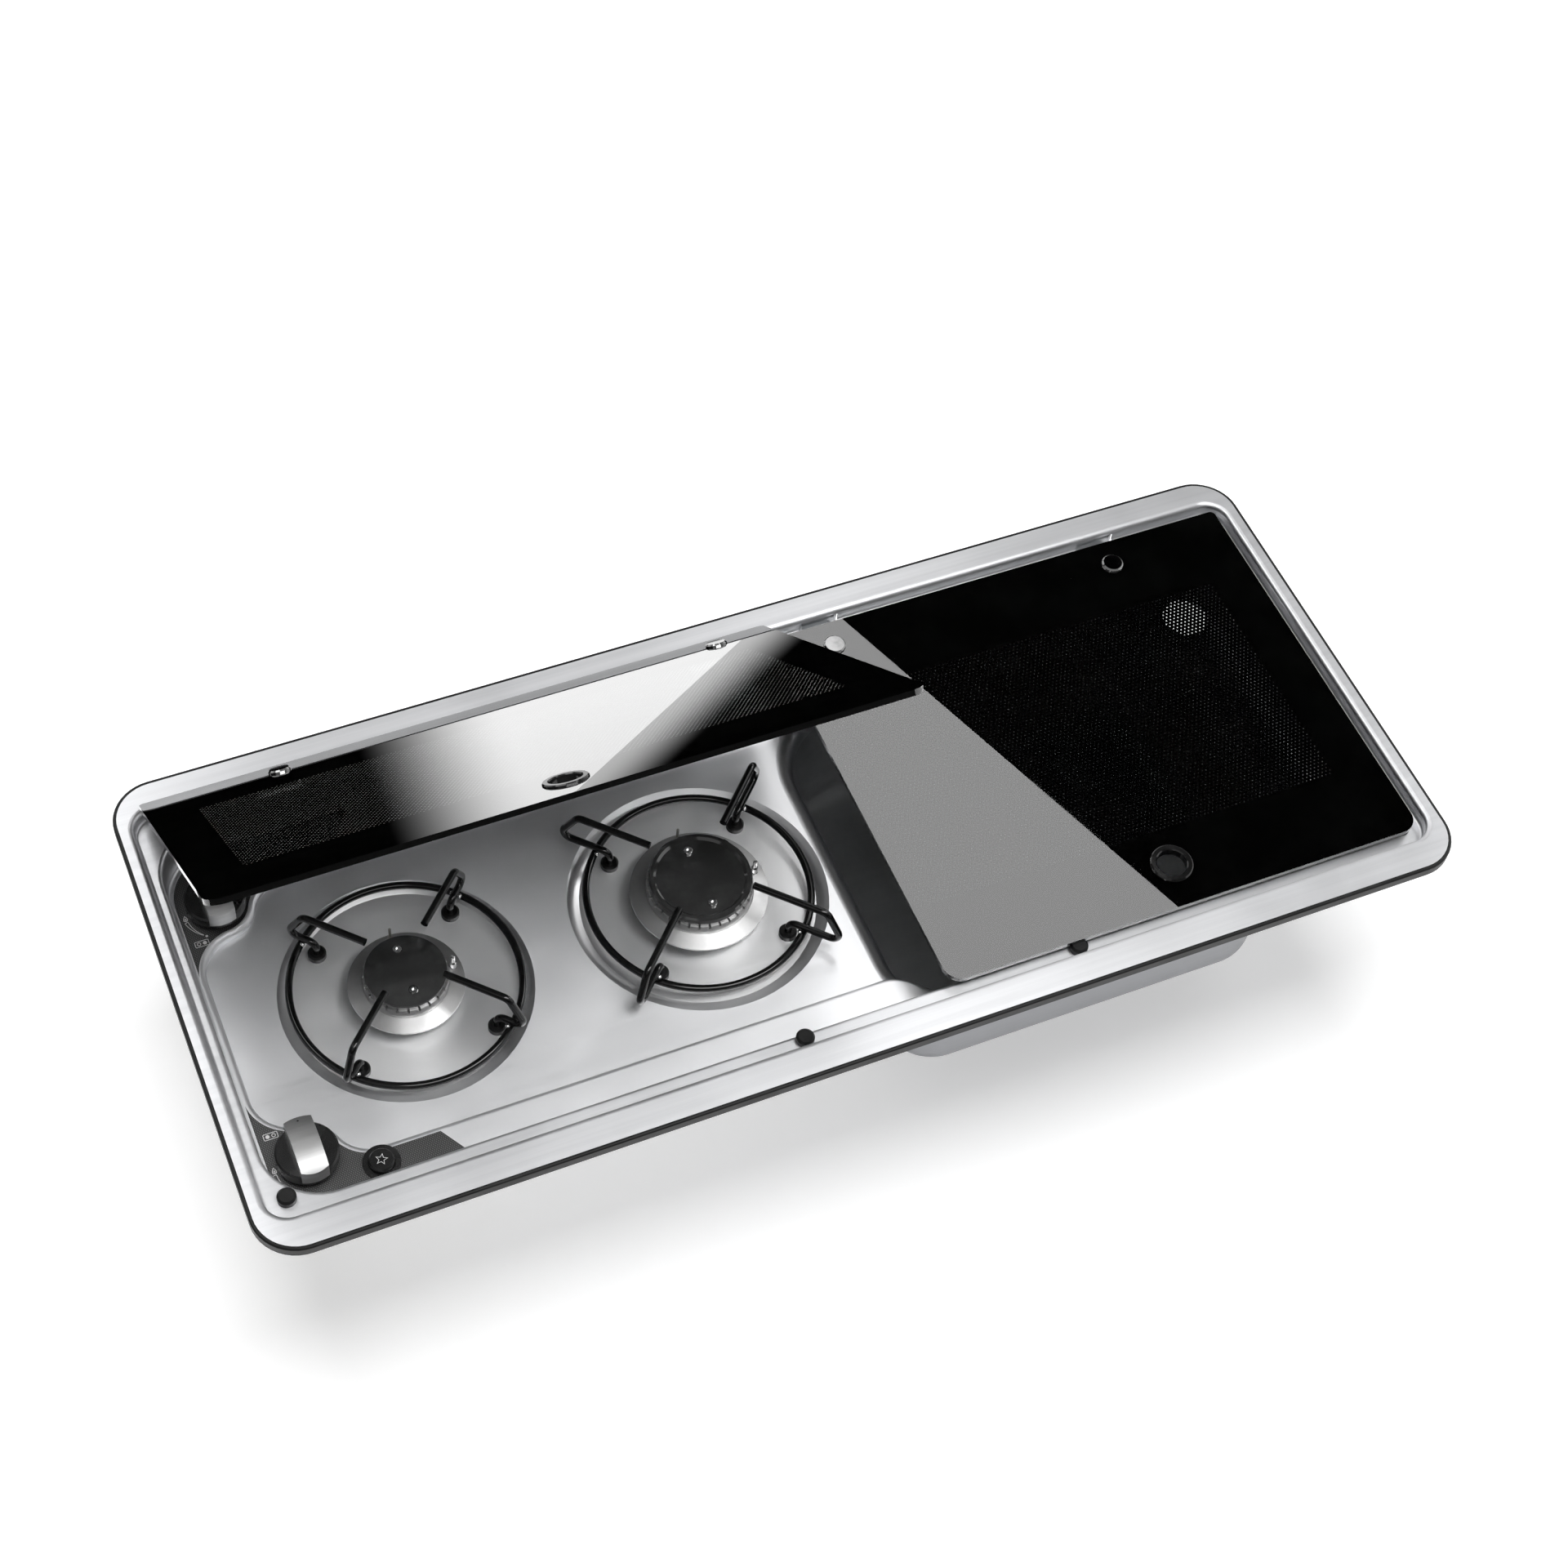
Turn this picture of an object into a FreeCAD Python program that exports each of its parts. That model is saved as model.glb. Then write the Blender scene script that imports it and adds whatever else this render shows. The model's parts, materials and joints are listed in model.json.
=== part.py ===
import FreeCAD, Part

import math
import os

import Sketcher

# A drop-in hob and sink unit: one steel pressing carries two gas burners on the left and a sink on
# the right, under two hinged glass lids. Millimetres, +X towards the sink, +Y towards the hinges, +Z up.
# The origin is the middle of the worktop seat, the underside of the rubber edge seal.

SIZES = {
    # Rim and the seal that seats on the worktop
    "steel_width": 894.6,
    "steel_depth": 379.6,
    "steel_corner": 30,
    "sheet_metal": 1,
    "flange_top": 8,
    "seal_overhang": 2.7,
    "seal_seat": 5,
    "seal_round": 1.5,
    # Recess for the lids, with the ledge that they rest over
    "rim_side": 9.8,
    "rim_front": 23.3,
    "rim_back": 20.8,
    "recess_corner": 17,
    "ledge_drop": 12,
    "rim_bend": 4,
    "ledge_foot": 2,
    # Deck with the controls and the tap hole
    "ledge_side": 8.5,
    "ledge_front": 14,
    "ledge_back": 16,
    "deck_corner": 42,
    "deck_drop": 34,
    "ledge_bend": 3,
    "deck_foot": 4,
    "tap_hole_inset": 46.5,
    "tap_hole_forward": 52.5,
    "tap_hole_radius": 17.5,
    # Hob pan, drawn in round the two knobs
    "burner_offset": 2,
    "pan_inset": 9,
    "pan_strip": 39.75,
    "pan_drop": 7,
    "pan_lip": 4,
    "pan_corner": 30,
    "pan_end": 63,
    "knob_inset": 32,
    "knob_bay": 27,
    "pan_shoulder": 25,
    # Round dishes under the burners, whose sizes here are for a pan of this half depth
    "hob_module": 113,
    "small_burner_inset": 128,
    "burner_spacing": 221,
    "small_dish": 90,
    "large_dish": 95,
    "dish_slope": 9,
    "dish_drop": 4.5,
    # Sink mouth and bowl
    "bowl_beyond": 109,
    "tap_deck": 77,
    "bowl_strip_front": 9.5,
    "bowl_strip_back": 31,
    "bowl_front_corner": 42,
    "bowl_back_corner": 60,
    "front_nose": 30,
    "rear_nose": 20,
    "bowl_roll": 14,
    "seam_drop": 24,
    "bowl_depth": 93,
    "bowl_draft": 3,
    "bowl_foot": 20,
    # Sink waste
    "waste_forward": 92,
    "waste_tail": 22,
    "waste_flange": 30,
    "waste_wall": 1.4,
    "waste_length": 24,
    "strainer_drop": 8,
    "strainer_ring": 12.4,
    "strainer_hole": 2.4,
    "gasket_thick": 2,
    "nut_height": 8,
    "nut_radius": 31,
    "elbow_radius": 26,
    "elbow_drop": 42,
    "outlet_radius": 12.5,
    "outlet_bore": 10,
    "outlet_length": 64,
    "hose_length": 36,
    "outlet_collar": 13.5,
    # Burners
    "small_body": 30,
    "large_body": 38.5,
    "small_skirt": 41,
    "large_skirt": 50,
    "small_screw_pitch": 17.5,
    "large_screw_pitch": 23.5,
    "burner_neck": 20,
    "burner_bore": 12,
    "neck_length": 28,
    "pedestal_height": 8,
    "skirt_rise": 3,
    "skirt_edge": 1.5,
    "pedestal_inset": 3,
    "cup_lip": 1,
    "cup_height": 16,
    "chamber_wall": 6,
    "head_spigot": 6,
    "head_height": 8,
    "head_bore": 12.5,
    "port_depth": 3,
    "port_width": 1.6,
    "port_length": 8,
    "cap_inset": 1.3,
    "cap_height": 7.5,
    "cap_crown": 3,
    "cap_rim": 1.8,
    "cap_rim_width": 3.6,
    "cap_edge": 1.2,
    "screw_radius": 2,
    "screw_head": 3.2,
    "screw_head_height": 2.2,
    "screw_edge": 0.4,
    "screw_length": 12,
    "socket_radius": 1.3,
    "socket_depth": 1.4,
    "probe_radius": 2.5,
    "probe_gap": 4.5,
    "probe_length": 30,
    "probe_shoulder": 1,
    "electrode_tip": 1,
    "electrode_height": 31,
    "electrode_proud": 2,
    "thermocouple_tip": 1.6,
    "thermocouple_height": 28,
    "thermocouple_proud": 4,
    "jet_radius": 8,
    "jet_flange": 16,
    "jet_height": 16,
    "jet_nozzle": 5,
    "jet_tip": 3,
    "jet_plate": 3,
    # Pan supports of bent wire
    "wire_radius": 2.7,
    "ring_radius": 81.3,
    "ring_height": 11.5,
    "weld_depth": 0.3,
    "foot_radius": 70,
    "wire_bend": 6.5,
    "riser_height": 28.7,
    "riser_lean": 15.1,
    "small_elbow": 93.4,
    "large_elbow": 111.3,
    "small_finger": 30.2,
    "large_finger": 40,
    "bush_radius": 6.5,
    "bush_height": 5.5,
    "bush_edge": 1.2,
    "bush_neck": 4.6,
    "bush_lip": 5.6,
    "bush_lip_height": 2,
    # Gas taps, knobs and pipes
    "tap_radius": 14,
    "tap_height": 40,
    "tap_floor": 4,
    "bushing_radius": 6,
    "spindle_radius": 4,
    "plunger_radius": 7,
    "plunger_height": 10,
    "plunger_clear": 2,
    "chamber_height": 22,
    "boss_radius": 6,
    "boss_height": 14,
    "boss_reach": 20,
    "knob_push": 4,
    "knob_clear": 0.8,
    "knob_radius": 21.5,
    "knob_height": 9,
    "knob_floor": 3,
    "knob_edge": 1.2,
    "knob_web": 1,
    "grip_width": 19,
    "grip_height": 22,
    "grip_arch": 41.5,
    "grip_overhang": 0.4,
    "spindle_engage": 6,
    "rail_width": 10,
    "rail_gap": 1,
    "rail_end": 20,
    "inlet_radius": 4,
    "inlet_length": 40,
    "tube_radius": 3,
    "tube_bend": 15,
    # Ignition button
    "igniter_beyond": 45,
    "igniter_inset": 24,
    "igniter_body": 10.5,
    "igniter_bezel": 13,
    "igniter_bezel_height": 1.4,
    "igniter_depth": 36,
    "igniter_floor": 12,
    "button_radius": 8.8,
    "button_gap": 0.4,
    "button_proud": 4,
    "button_space": 8,
    "button_edge": 1,
    # Control panel foils
    "panel_thick": 0.3,
    "panel_gap": 0.6,
    "panel_start": 1,
    "panel_length": 118.5,
    "panel_end_lean": 25,
    # Lid bumpers
    "bumper_radius": 6.5,
    "bumper_edge": 1.5,
    "bumper_side": 15.8,
    "bumper_corner": 18,
    "bumper_front": 8.5,
    "bumper_hob": 12.5,
    "bumper_sink": 100.6,
    # Lids and hinges
    "glass_thick": 4,
    "lid_drop": 6,
    "lid_gap_front": 9.5,
    "lid_gap_back": 7.5,
    "lid_corner": 13,
    "lid_rear_corner": 4,
    "hob_lid_gap": 8.5,
    "hob_lid_lap": 10,
    "lid_split": 3,
    "sink_lid_gap": 7,
    "hob_lid_angle": 43,
    "hinge_behind": 6,
    "hinge_drop": 3,
    "hinge_inset": 21.5,
    "hob_hinge_left": 99,
    "hob_hinge_right": 45,
    "sink_hinge_left": 43.4,
    "sink_hinge_right": 100.5,
    "strap_width": 26,
    "strap_thick": 2.5,
    "strap_low": 13,
    "strap_rise": 15,
    "strap_end": 12,
    "strap_bend": 2,
    "eye_radius": 4.5,
    "pin_radius": 2.5,
    "pin_play": 0.05,
    "pin_overhang": 1,
    "ear_thick": 2,
    "ear_gap": 0.5,
    "bracket_plate": 2,
    "bracket_depth": 6,
    "slot_side": 3,
    "slot_front": 14,
    "slot_back": 3,
    "slot_top": 3,
    "slot_foot": 8,
    "cap_radius": 8.25,
    "cap_thick": 2.2,
    "cap_stem": 4,
    "hinge_cap_edge": 1.1,
    "finger_front": 34.5,
    "sink_finger_inset": 187.5,
    "finger_outer": 15.5,
    "finger_sleeve": 12.4,
    "finger_bore": 11,
    "finger_lip": 14,
    "finger_lip_height": 1,
    "finger_rim": 1.6,
    "finger_edge": 0.8,
    # Play between pieces that only touch
    "fit": 0.2,
}

SMALL_PORTS = 24
LARGE_PORTS = 32
STRAINER_HOLES = 8
NUT_SIDES = 8
ARMS = 4
# How far a cutting tool runs past the face that it cuts
PAST = 10

doc = FreeCAD.newDocument("hob_and_sink")
sheet = doc.addObject("Spreadsheet::Sheet", "sizes")
for row, (name, amount) in enumerate(SIZES.items(), start=1):
    sheet.set(f"A{row}", name)
    sheet.set(f"B{row}", str(amount))
    sheet.setAlias(f"B{row}", name)
doc.recompute()


class Size:
    """A length with the expression that it comes from, so that what is bound to it follows the sheet."""

    def __init__(self, text, value):
        self.text = text
        self.value = value

    def __add__(self, other):
        other = as_size(other)
        return Size(f"({self.text} + {other.text})", self.value + other.value)

    def __sub__(self, other):
        other = as_size(other)
        return Size(f"({self.text} - {other.text})", self.value - other.value)

    def __mul__(self, other):
        other = as_size(other)
        return Size(f"({self.text} * {other.text})", self.value * other.value)

    def __truediv__(self, other):
        other = as_size(other)
        return Size(f"({self.text} / {other.text})", self.value / other.value)

    def __radd__(self, other):
        return as_size(other) + self

    def __rsub__(self, other):
        return as_size(other) - self

    def __rmul__(self, other):
        return as_size(other) * self

    def __neg__(self):
        return 0 - self

    def __float__(self):
        return float(self.value)

    def root(self):
        return Size(f"sqrt({self.text})", math.sqrt(self.value))


class Named:
    """The sheet's cells by name."""

    def __getattr__(self, name):
        return Size(f"sizes.{name}", sheet.get(name))


def as_size(amount):
    if isinstance(amount, Size):
        return amount
    return Size(f"({float(amount)})", float(amount))


size = Named()

# Heights of the pressing's steps, from the rim down
rim_z = size.flange_top
ledge_z = rim_z - size.ledge_drop
deck_z = ledge_z - size.deck_drop
pan_z = deck_z - size.pan_drop
dish_z = pan_z - size.dish_drop
seam_z = deck_z - size.seam_drop
bowl_z = seam_z - size.bowl_depth
burner_y = -size.burner_offset
hinge_z = -size.hinge_drop
glass_z = rim_z - size.lid_drop

# Plan of the pressing, from the rim inwards
half_width = size.steel_width / 2
half_depth = size.steel_depth / 2
recess_half = half_width - size.rim_side
recess_south = size.rim_front - half_depth
recess_north = half_depth - size.rim_back
deck_half = recess_half - size.ledge_side
deck_south = recess_south + size.ledge_front
deck_north = recess_north - size.ledge_back
pan_west = size.pan_inset - deck_half
pan_half = (deck_north - deck_south) / 2 - size.pan_strip
pan_side = pan_half - size.pan_end
small_x = pan_west + size.small_burner_inset
large_x = small_x + size.burner_spacing
bowl_west = large_x + size.bowl_beyond
bowl_east = deck_half - size.tap_deck
bowl_south = deck_south + size.bowl_strip_front
bowl_north = deck_north - size.bowl_strip_back
waste_x = (bowl_west + bowl_east) / 2
waste_y = bowl_north - size.waste_forward

# Plan of the lids
lid_south = recess_south + size.lid_gap_front
lid_north = recess_north - size.lid_gap_back
hob_lid_west = size.hob_lid_gap - recess_half
hob_lid_east = bowl_west + size.hob_lid_lap
sink_lid_west = hob_lid_east + size.lid_split
sink_lid_east = recess_half - size.sink_lid_gap
hinge_y = recess_north + size.hinge_behind

# A shallower or deeper pan has smaller or larger burners
hob_scale = pan_half / size.hob_module

# The pan's corner arcs touch the bay round each knob, which fixes how far the knobs stand apart
corner_x = pan_west + size.pan_corner
knob_x = size.knob_inset - deck_half
bay_reach = size.pan_corner + size.knob_bay
bay_side = corner_x - knob_x
knob_reach = pan_side + (bay_reach * bay_reach - bay_side * bay_side).root()
igniter_x = knob_x + size.igniter_beyond
igniter_y = deck_south + size.igniter_inset
# A knob stands off the deck by its push and a little more
knob_gap = size.knob_push + size.knob_clear
FRONT, REAR = -1, 1


def bind(target, name, amount):
    """Ties one property to the sheet."""
    target.setExpression(name, as_size(amount).text)


def place(target, x, y, z):
    bind(target, "Placement.Base.x", x)
    bind(target, "Placement.Base.y", y)
    bind(target, "Placement.Base.z", z)
    return target


def origin_plane(body, role):
    for feature in body.Origin.OriginFeatures:
        if feature.Role == role:
            return feature


def new_sketch(body, role):
    sketch = body.newObject("Sketcher::SketchObject", f"{body.Name}_sketch")
    sketch.AttachmentSupport = (origin_plane(body, role), [""])
    sketch.MapMode = "FlatFace"
    return sketch


def dimension(sketch, constraint, amount):
    """Adds a dimension and ties it to the sheet."""
    index = sketch.addConstraint(constraint)
    sketch.setExpression(f"Constraints[{index}]", as_size(amount).text)


def closed_polygon(sketch, points):
    """A closed outline through points, each tied to its two distances from the sketch's origin."""
    corners = [FreeCAD.Vector(float(x), float(y), 0) for x, y in points]
    count = len(corners)
    for i in range(count):
        sketch.addGeometry(Part.LineSegment(corners[i], corners[(i + 1) % count]))
    for i in range(count):
        sketch.addConstraint(Sketcher.Constraint("Coincident", i, 2, (i + 1) % count, 1))
    for i, (x, y) in enumerate(points):
        for kind, axis, amount in (("DistanceX", -2, x), ("DistanceY", -1, y)):
            if abs(float(amount)) < 1e-9:
                sketch.addConstraint(Sketcher.Constraint("PointOnObject", i, 1, axis))
            else:
                dimension(sketch, Sketcher.Constraint(kind, -1, 1, i, 1, float(amount)), amount)


def turned(label, points, x, y, z):
    """A solid of revolution about its own vertical axis, from (radius, height) points."""
    body = doc.addObject("PartDesign::Body", label)
    sketch = new_sketch(body, "XZ_Plane")
    closed_polygon(sketch, points)
    feature = body.newObject("PartDesign::Revolution", f"{label}_turn")
    feature.Profile = sketch
    feature.ReferenceAxis = (sketch, ["V_Axis"])
    feature.Angle = 360
    sketch.Visibility = False
    return place(body, x, y, z)


def rounded(label, west, east, south, north, radii, low, high, draft=None):
    """A block with rounded upright corners, radii from the south-west one anticlockwise.

    With a draft it hangs down from its top face and narrows.
    """
    body = doc.addObject("PartDesign::Body", label)
    sketch = new_sketch(body, "XY_Plane")
    width = as_size(east - west)
    depth = as_size(north - south)
    wide, deep = float(width), float(depth)
    a, b, c, d = [float(radius) for radius in radii]
    runs = [
        ((a, 0), (wide - b, 0), (wide - b, b), b, -90),
        ((wide, b), (wide, deep - c), (wide - c, deep - c), c, 0),
        ((wide - c, deep), (d, deep), (d, deep - d), d, 90),
        ((0, deep - d), (0, a), (a, a), a, 180),
    ]
    up = FreeCAD.Vector(0, 0, 1)
    for start, end, centre, radius, angle in runs:
        sketch.addGeometry(Part.LineSegment(FreeCAD.Vector(*start), FreeCAD.Vector(*end)))
        circle = Part.Circle(FreeCAD.Vector(*centre), up, radius)
        sketch.addGeometry(Part.ArcOfCircle(circle, math.radians(angle), math.radians(angle + 90)))
    for i in range(8):
        sketch.addConstraint(Sketcher.Constraint("Tangent", i, 2, (i + 1) % 8, 1))
    for i, kind in ((0, "Horizontal"), (2, "Vertical"), (4, "Horizontal"), (6, "Vertical")):
        sketch.addConstraint(Sketcher.Constraint(kind, i))
    sketch.addConstraint(Sketcher.Constraint("PointOnObject", 0, 1, -1))
    sketch.addConstraint(Sketcher.Constraint("PointOnObject", 6, 1, -2))
    for i, radius in ((1, radii[1]), (3, radii[2]), (5, radii[3]), (7, radii[0])):
        dimension(sketch, Sketcher.Constraint("Radius", i, float(radius)), radius)
    dimension(sketch, Sketcher.Constraint("DistanceX", 6, 1, 2, 1, wide), width)
    dimension(sketch, Sketcher.Constraint("DistanceY", 0, 1, 4, 1, deep), depth)
    pad = body.newObject("PartDesign::Pad", f"{label}_pad")
    pad.Profile = sketch
    bind(pad, "Length", high - low)
    if draft is not None:
        pad.Reversed = True
        bind(pad, "TaperAngle", -draft)
    sketch.Visibility = False
    return place(body, west, south, low if draft is None else high)


def prism(label, role, points, length, x, y, z):
    """A straight-sided block: an outline on one of its own planes, padded both ways by half its length."""
    body = doc.addObject("PartDesign::Body", label)
    sketch = new_sketch(body, role)
    closed_polygon(sketch, points)
    pad = body.newObject("PartDesign::Pad", f"{label}_pad")
    pad.Profile = sketch
    pad.SideType = "Symmetric"
    bind(pad, "Length", length)
    sketch.Visibility = False
    return place(body, x, y, z)


def box(label, west, east, south, north, low, high):
    block = doc.addObject("Part::Box", label)
    bind(block, "Length", east - west)
    bind(block, "Width", north - south)
    bind(block, "Height", high - low)
    return place(block, west, south, low)


def post(label, radius, x, y, low, high):
    """An upright cylinder."""
    rod = doc.addObject("Part::Cylinder", label)
    bind(rod, "Radius", radius)
    bind(rod, "Height", high - low)
    return place(rod, x, y, low)


def rod_along(label, direction, radius, length, x, y, z):
    """A cylinder that starts at a point and runs along a level direction."""
    rod = doc.addObject("Part::Cylinder", label)
    rod.Placement = FreeCAD.Placement(
        FreeCAD.Vector(),
        FreeCAD.Rotation(FreeCAD.Vector(0, 0, 1), FreeCAD.Vector(*direction)),
    )
    bind(rod, "Radius", radius)
    bind(rod, "Height", length)
    return place(rod, x, y, z)


def cut(label, base, *tools):
    """One piece less others."""
    result = doc.addObject("Part::Cut", label)
    result.Base = base
    result.Tool = tools[0] if len(tools) == 1 else fuse(f"{label}_tools", *tools)
    return result


def fuse(label, *pieces):
    result = doc.addObject("Part::MultiFuse", label)
    result.Shapes = list(pieces)
    return result


def common(label, *pieces):
    result = doc.addObject("Part::MultiCommon", label)
    result.Shapes = list(pieces)
    return result


def group(label, *pieces):
    """Separate solids that share one node."""
    result = doc.addObject("Part::Compound", label)
    result.Links = list(pieces)
    return result


def rounded_edges(label, base, picks):
    """Rounds edges of a piece; picks are (edge numbers, radius)."""
    result = doc.addObject("Part::Fillet", label)
    result.Base = base
    result.Edges = [(n, float(radius), float(radius)) for numbers, radius in picks for n in numbers]
    return result


def ring_edges(shape, level, outer, inner=None):
    """Numbers of the level edges that lie inside one rectangle and not inside another."""
    found = []
    for number, edge in enumerate(shape.Edges, start=1):
        bounds = edge.BoundBox
        flat = abs(bounds.ZMin - float(level)) < 1e-4 and abs(bounds.ZMax - float(level)) < 1e-4
        if flat and within(bounds, outer) and not (inner and within(bounds, inner)):
            found.append(number)
    return found


def within(bounds, rectangle):
    west, east, south, north = [float(side) for side in rectangle]
    slack = 1e-3
    return (
        bounds.XMin > west - slack
        and bounds.XMax < east + slack
        and bounds.YMin > south - slack
        and bounds.YMax < north + slack
    )


def tangent_loop(arcs):
    """A closed wire of arcs joined by tangent lines.

    Each arc is (x, y, radius) of its circle, with a radius below zero where the outline turns right.
    """
    count = len(arcs)
    headings = []
    for i in range(count):
        x0, y0, r0 = arcs[i]
        x1, y1, r1 = arcs[(i + 1) % count]
        apart = math.hypot(x1 - x0, y1 - y0)
        lean = max(-1.0, min(1.0, (r1 - r0) / apart))
        headings.append(math.atan2(y1 - y0, x1 - x0) - math.asin(lean))

    def point(arc, heading):
        x, y, radius = arc
        return FreeCAD.Vector(x + radius * math.sin(heading), y - radius * math.cos(heading), 0)

    leaving = [point(arcs[i], headings[i]) for i in range(count)]
    joining = [point(arcs[(i + 1) % count], headings[i]) for i in range(count)]
    joining = [end if (end - start).Length < 1e-4 else start for end, start in zip(leaving, joining)]
    edges = []
    for i in range(count):
        turn = (headings[i] - headings[i - 1]) % (2 * math.pi)
        if arcs[i][2] < 0:
            turn -= 2 * math.pi
        middle = point(arcs[i], headings[i - 1] + turn / 2)
        edges.append(Part.Arc(joining[i - 1], middle, leaving[i]).toShape())
        if joining[i] is not leaving[i]:
            edges.append(Part.LineSegment(leaving[i], joining[i]).toShape())
    return Part.Wire(edges)


def mouth_outline(offset):
    """The outline of hob pan and sink mouth together, stood off outwards by an offset."""
    s = size
    south = float(burner_y - pan_half)
    north = float(burner_y + pan_half)
    shoulder_reach = float(pan_half - s.pan_shoulder)
    rise = float(knob_reach) - shoulder_reach
    across = float(s.knob_bay + s.pan_shoulder)
    shoulder_x = float(knob_x) + math.sqrt(across**2 - rise**2)
    left, right = float(bowl_west), float(bowl_east)
    near, far = float(bowl_south), float(bowl_north)
    front_corner, back_corner = float(s.bowl_front_corner), float(s.bowl_back_corner)
    nose_front, nose_rear = float(s.front_nose), float(s.rear_nose)
    front_rise = (near + front_corner) - (south - nose_front)
    rear_rise = (north + nose_rear) - (far - back_corner)
    front_nose_x = left + front_corner - math.sqrt((front_corner + nose_front) ** 2 - front_rise**2)
    rear_nose_x = left + back_corner - math.sqrt((back_corner + nose_rear) ** 2 - rear_rise**2)

    def hob_end(side):
        middle = float(burner_y)
        return [
            (float(corner_x), middle + side * float(pan_side), float(s.pan_corner)),
            (float(knob_x), middle + side * float(knob_reach), -float(s.knob_bay)),
            (shoulder_x, middle + side * shoulder_reach, float(s.pan_shoulder)),
        ]

    arcs = hob_end(FRONT) + [
        (front_nose_x, south - nose_front, -nose_front),
        (left + front_corner, near + front_corner, front_corner),
        (right - front_corner, near + front_corner, front_corner),
        (right - back_corner, far - back_corner, back_corner),
        (left + back_corner, far - back_corner, back_corner),
        (rear_nose_x, north + nose_rear, -nose_rear),
    ] + hob_end(REAR)[::-1]
    return tangent_loop([(x, y, radius + float(offset)) for x, y, radius in arcs])


def mouth_prism(label, offset, low, high):
    outline = doc.addObject("Part::Feature", f"{label}_outline")
    outline.Shape = mouth_outline(offset)
    bind(outline, "Placement.Base.z", low)
    block = doc.addObject("Part::Extrusion", label)
    block.Base = outline
    block.DirMode = "Custom"
    block.Dir = FreeCAD.Vector(0, 0, 1)
    block.Solid = True
    bind(block, "LengthFwd", high - low)
    return block


def recess_sides(skin):
    half = recess_half + skin
    return -half, half, recess_south - skin, recess_north + skin


def deck_sides(skin):
    half = deck_half + skin
    return -half, half, deck_south - skin, deck_north + skin


def bowl_sides(skin):
    return bowl_west - skin, bowl_east + skin, bowl_south - skin, bowl_north + skin


def bowl_radii(skin):
    front = size.bowl_front_corner + skin
    back = size.bowl_back_corner + skin
    return [front, front, back, back]


def burners():
    """Name, place and sizes of the two burners."""
    s = size
    small = [s.small_dish, s.small_body, s.small_skirt]
    large = [s.large_dish, s.large_body, s.large_skirt]
    return (
        ("small", small_x, *[amount * hob_scale for amount in small]),
        ("large", large_x, *[amount * hob_scale for amount in large]),
    )


def die(name, skin):
    """The block under one face of the steel sheet; skin is that face's depth below the visible one."""
    s = size
    if float(skin) == 0:
        corners = [s.steel_corner] * 4
        block = rounded(
            f"{name}_block", -half_width, half_width, -half_depth, half_depth, corners, seam_z, rim_z
        )
    else:
        half_x, half_y = half_width + PAST, half_depth + PAST
        block = box(f"{name}_block", -half_x, half_x, -half_y, half_y, seam_z - PAST, rim_z - skin)
    recess = rounded(
        f"{name}_recess", *recess_sides(skin), [s.recess_corner + skin] * 4, ledge_z - skin, rim_z + PAST
    )
    deck = rounded(f"{name}_deck", *deck_sides(skin), [s.deck_corner + skin] * 4, deck_z - skin, rim_z)
    mouth = mouth_prism(f"{name}_mouth", skin, seam_z - 2 * PAST, ledge_z)
    reach = pan_half + s.bowl_roll + 3 * PAST
    floor = box(
        f"{name}_floor", pan_west - PAST, waste_x,
        burner_y - reach, burner_y + reach, seam_z - 3 * PAST, pan_z - skin,
    )
    opening = rounded(f"{name}_opening", *bowl_sides(skin), bowl_radii(skin), seam_z - 4 * PAST, deck_z)
    edge = cut(f"{name}_floor_edge", floor, opening)
    doc.recompute()
    roll = ring_edges(edge.Shape, pan_z - skin, bowl_sides(skin))
    rolled = rounded_edges(f"{name}_rolled", edge, [(roll, s.bowl_roll - skin)])
    slope = math.atan2(float(s.dish_drop), float(s.dish_slope))
    spread = skin * math.tan(slope / 2)
    dishes = []
    for burner, x, dish, _, _ in burners():
        cone = doc.addObject("Part::Cone", f"{name}_{burner}_dish")
        bind(cone, "Radius1", dish - s.dish_slope + spread)
        bind(cone, "Radius2", dish + s.dish_slope + spread)
        bind(cone, "Height", 2 * s.dish_drop)
        dishes.append(place(cone, x, burner_y, dish_z - skin))
    pocket = cut(f"{name}_pocket", mouth, cut(f"{name}_dished", rolled, *dishes))
    pressed = cut(f"{name}_pressed", block, recess, deck, pocket)
    doc.recompute()
    shape = pressed.Shape
    mouth_box = mouth_outline(skin).BoundBox
    mouth_sides = (mouth_box.XMin, mouth_box.XMax, mouth_box.YMin, mouth_box.YMax)
    picks = [
        (ring_edges(shape, rim_z - skin, recess_sides(skin)), s.rim_bend - skin),
        (ring_edges(shape, ledge_z - skin, recess_sides(skin), deck_sides(skin)), s.ledge_foot + skin),
        (ring_edges(shape, ledge_z - skin, deck_sides(skin)), s.ledge_bend - skin),
        (ring_edges(shape, deck_z - skin, deck_sides(skin), mouth_sides), s.deck_foot + skin),
        (ring_edges(shape, deck_z - skin, mouth_sides), s.pan_lip - skin),
    ]
    return rounded_edges(f"{name}_bent", pressed, picks)


def hinge_places():
    """Name of each lid with the places of its two hinges along X."""
    s = size
    return (
        ("hob", (hob_lid_west + s.hob_hinge_left, hob_lid_east - s.hob_hinge_right)),
        ("sink", (sink_lid_west + s.sink_hinge_left, sink_lid_east - s.sink_hinge_right)),
    )


def arm_angles():
    return [math.pi / ARMS + i * 2 * math.pi / ARMS for i in range(ARMS)]


def foot_places(burner_x):
    """Where the four feet of a pan support stand."""
    reach = size.foot_radius * hob_scale
    for angle in arm_angles():
        yield burner_x + reach * math.cos(angle), burner_y + reach * math.sin(angle)


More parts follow.
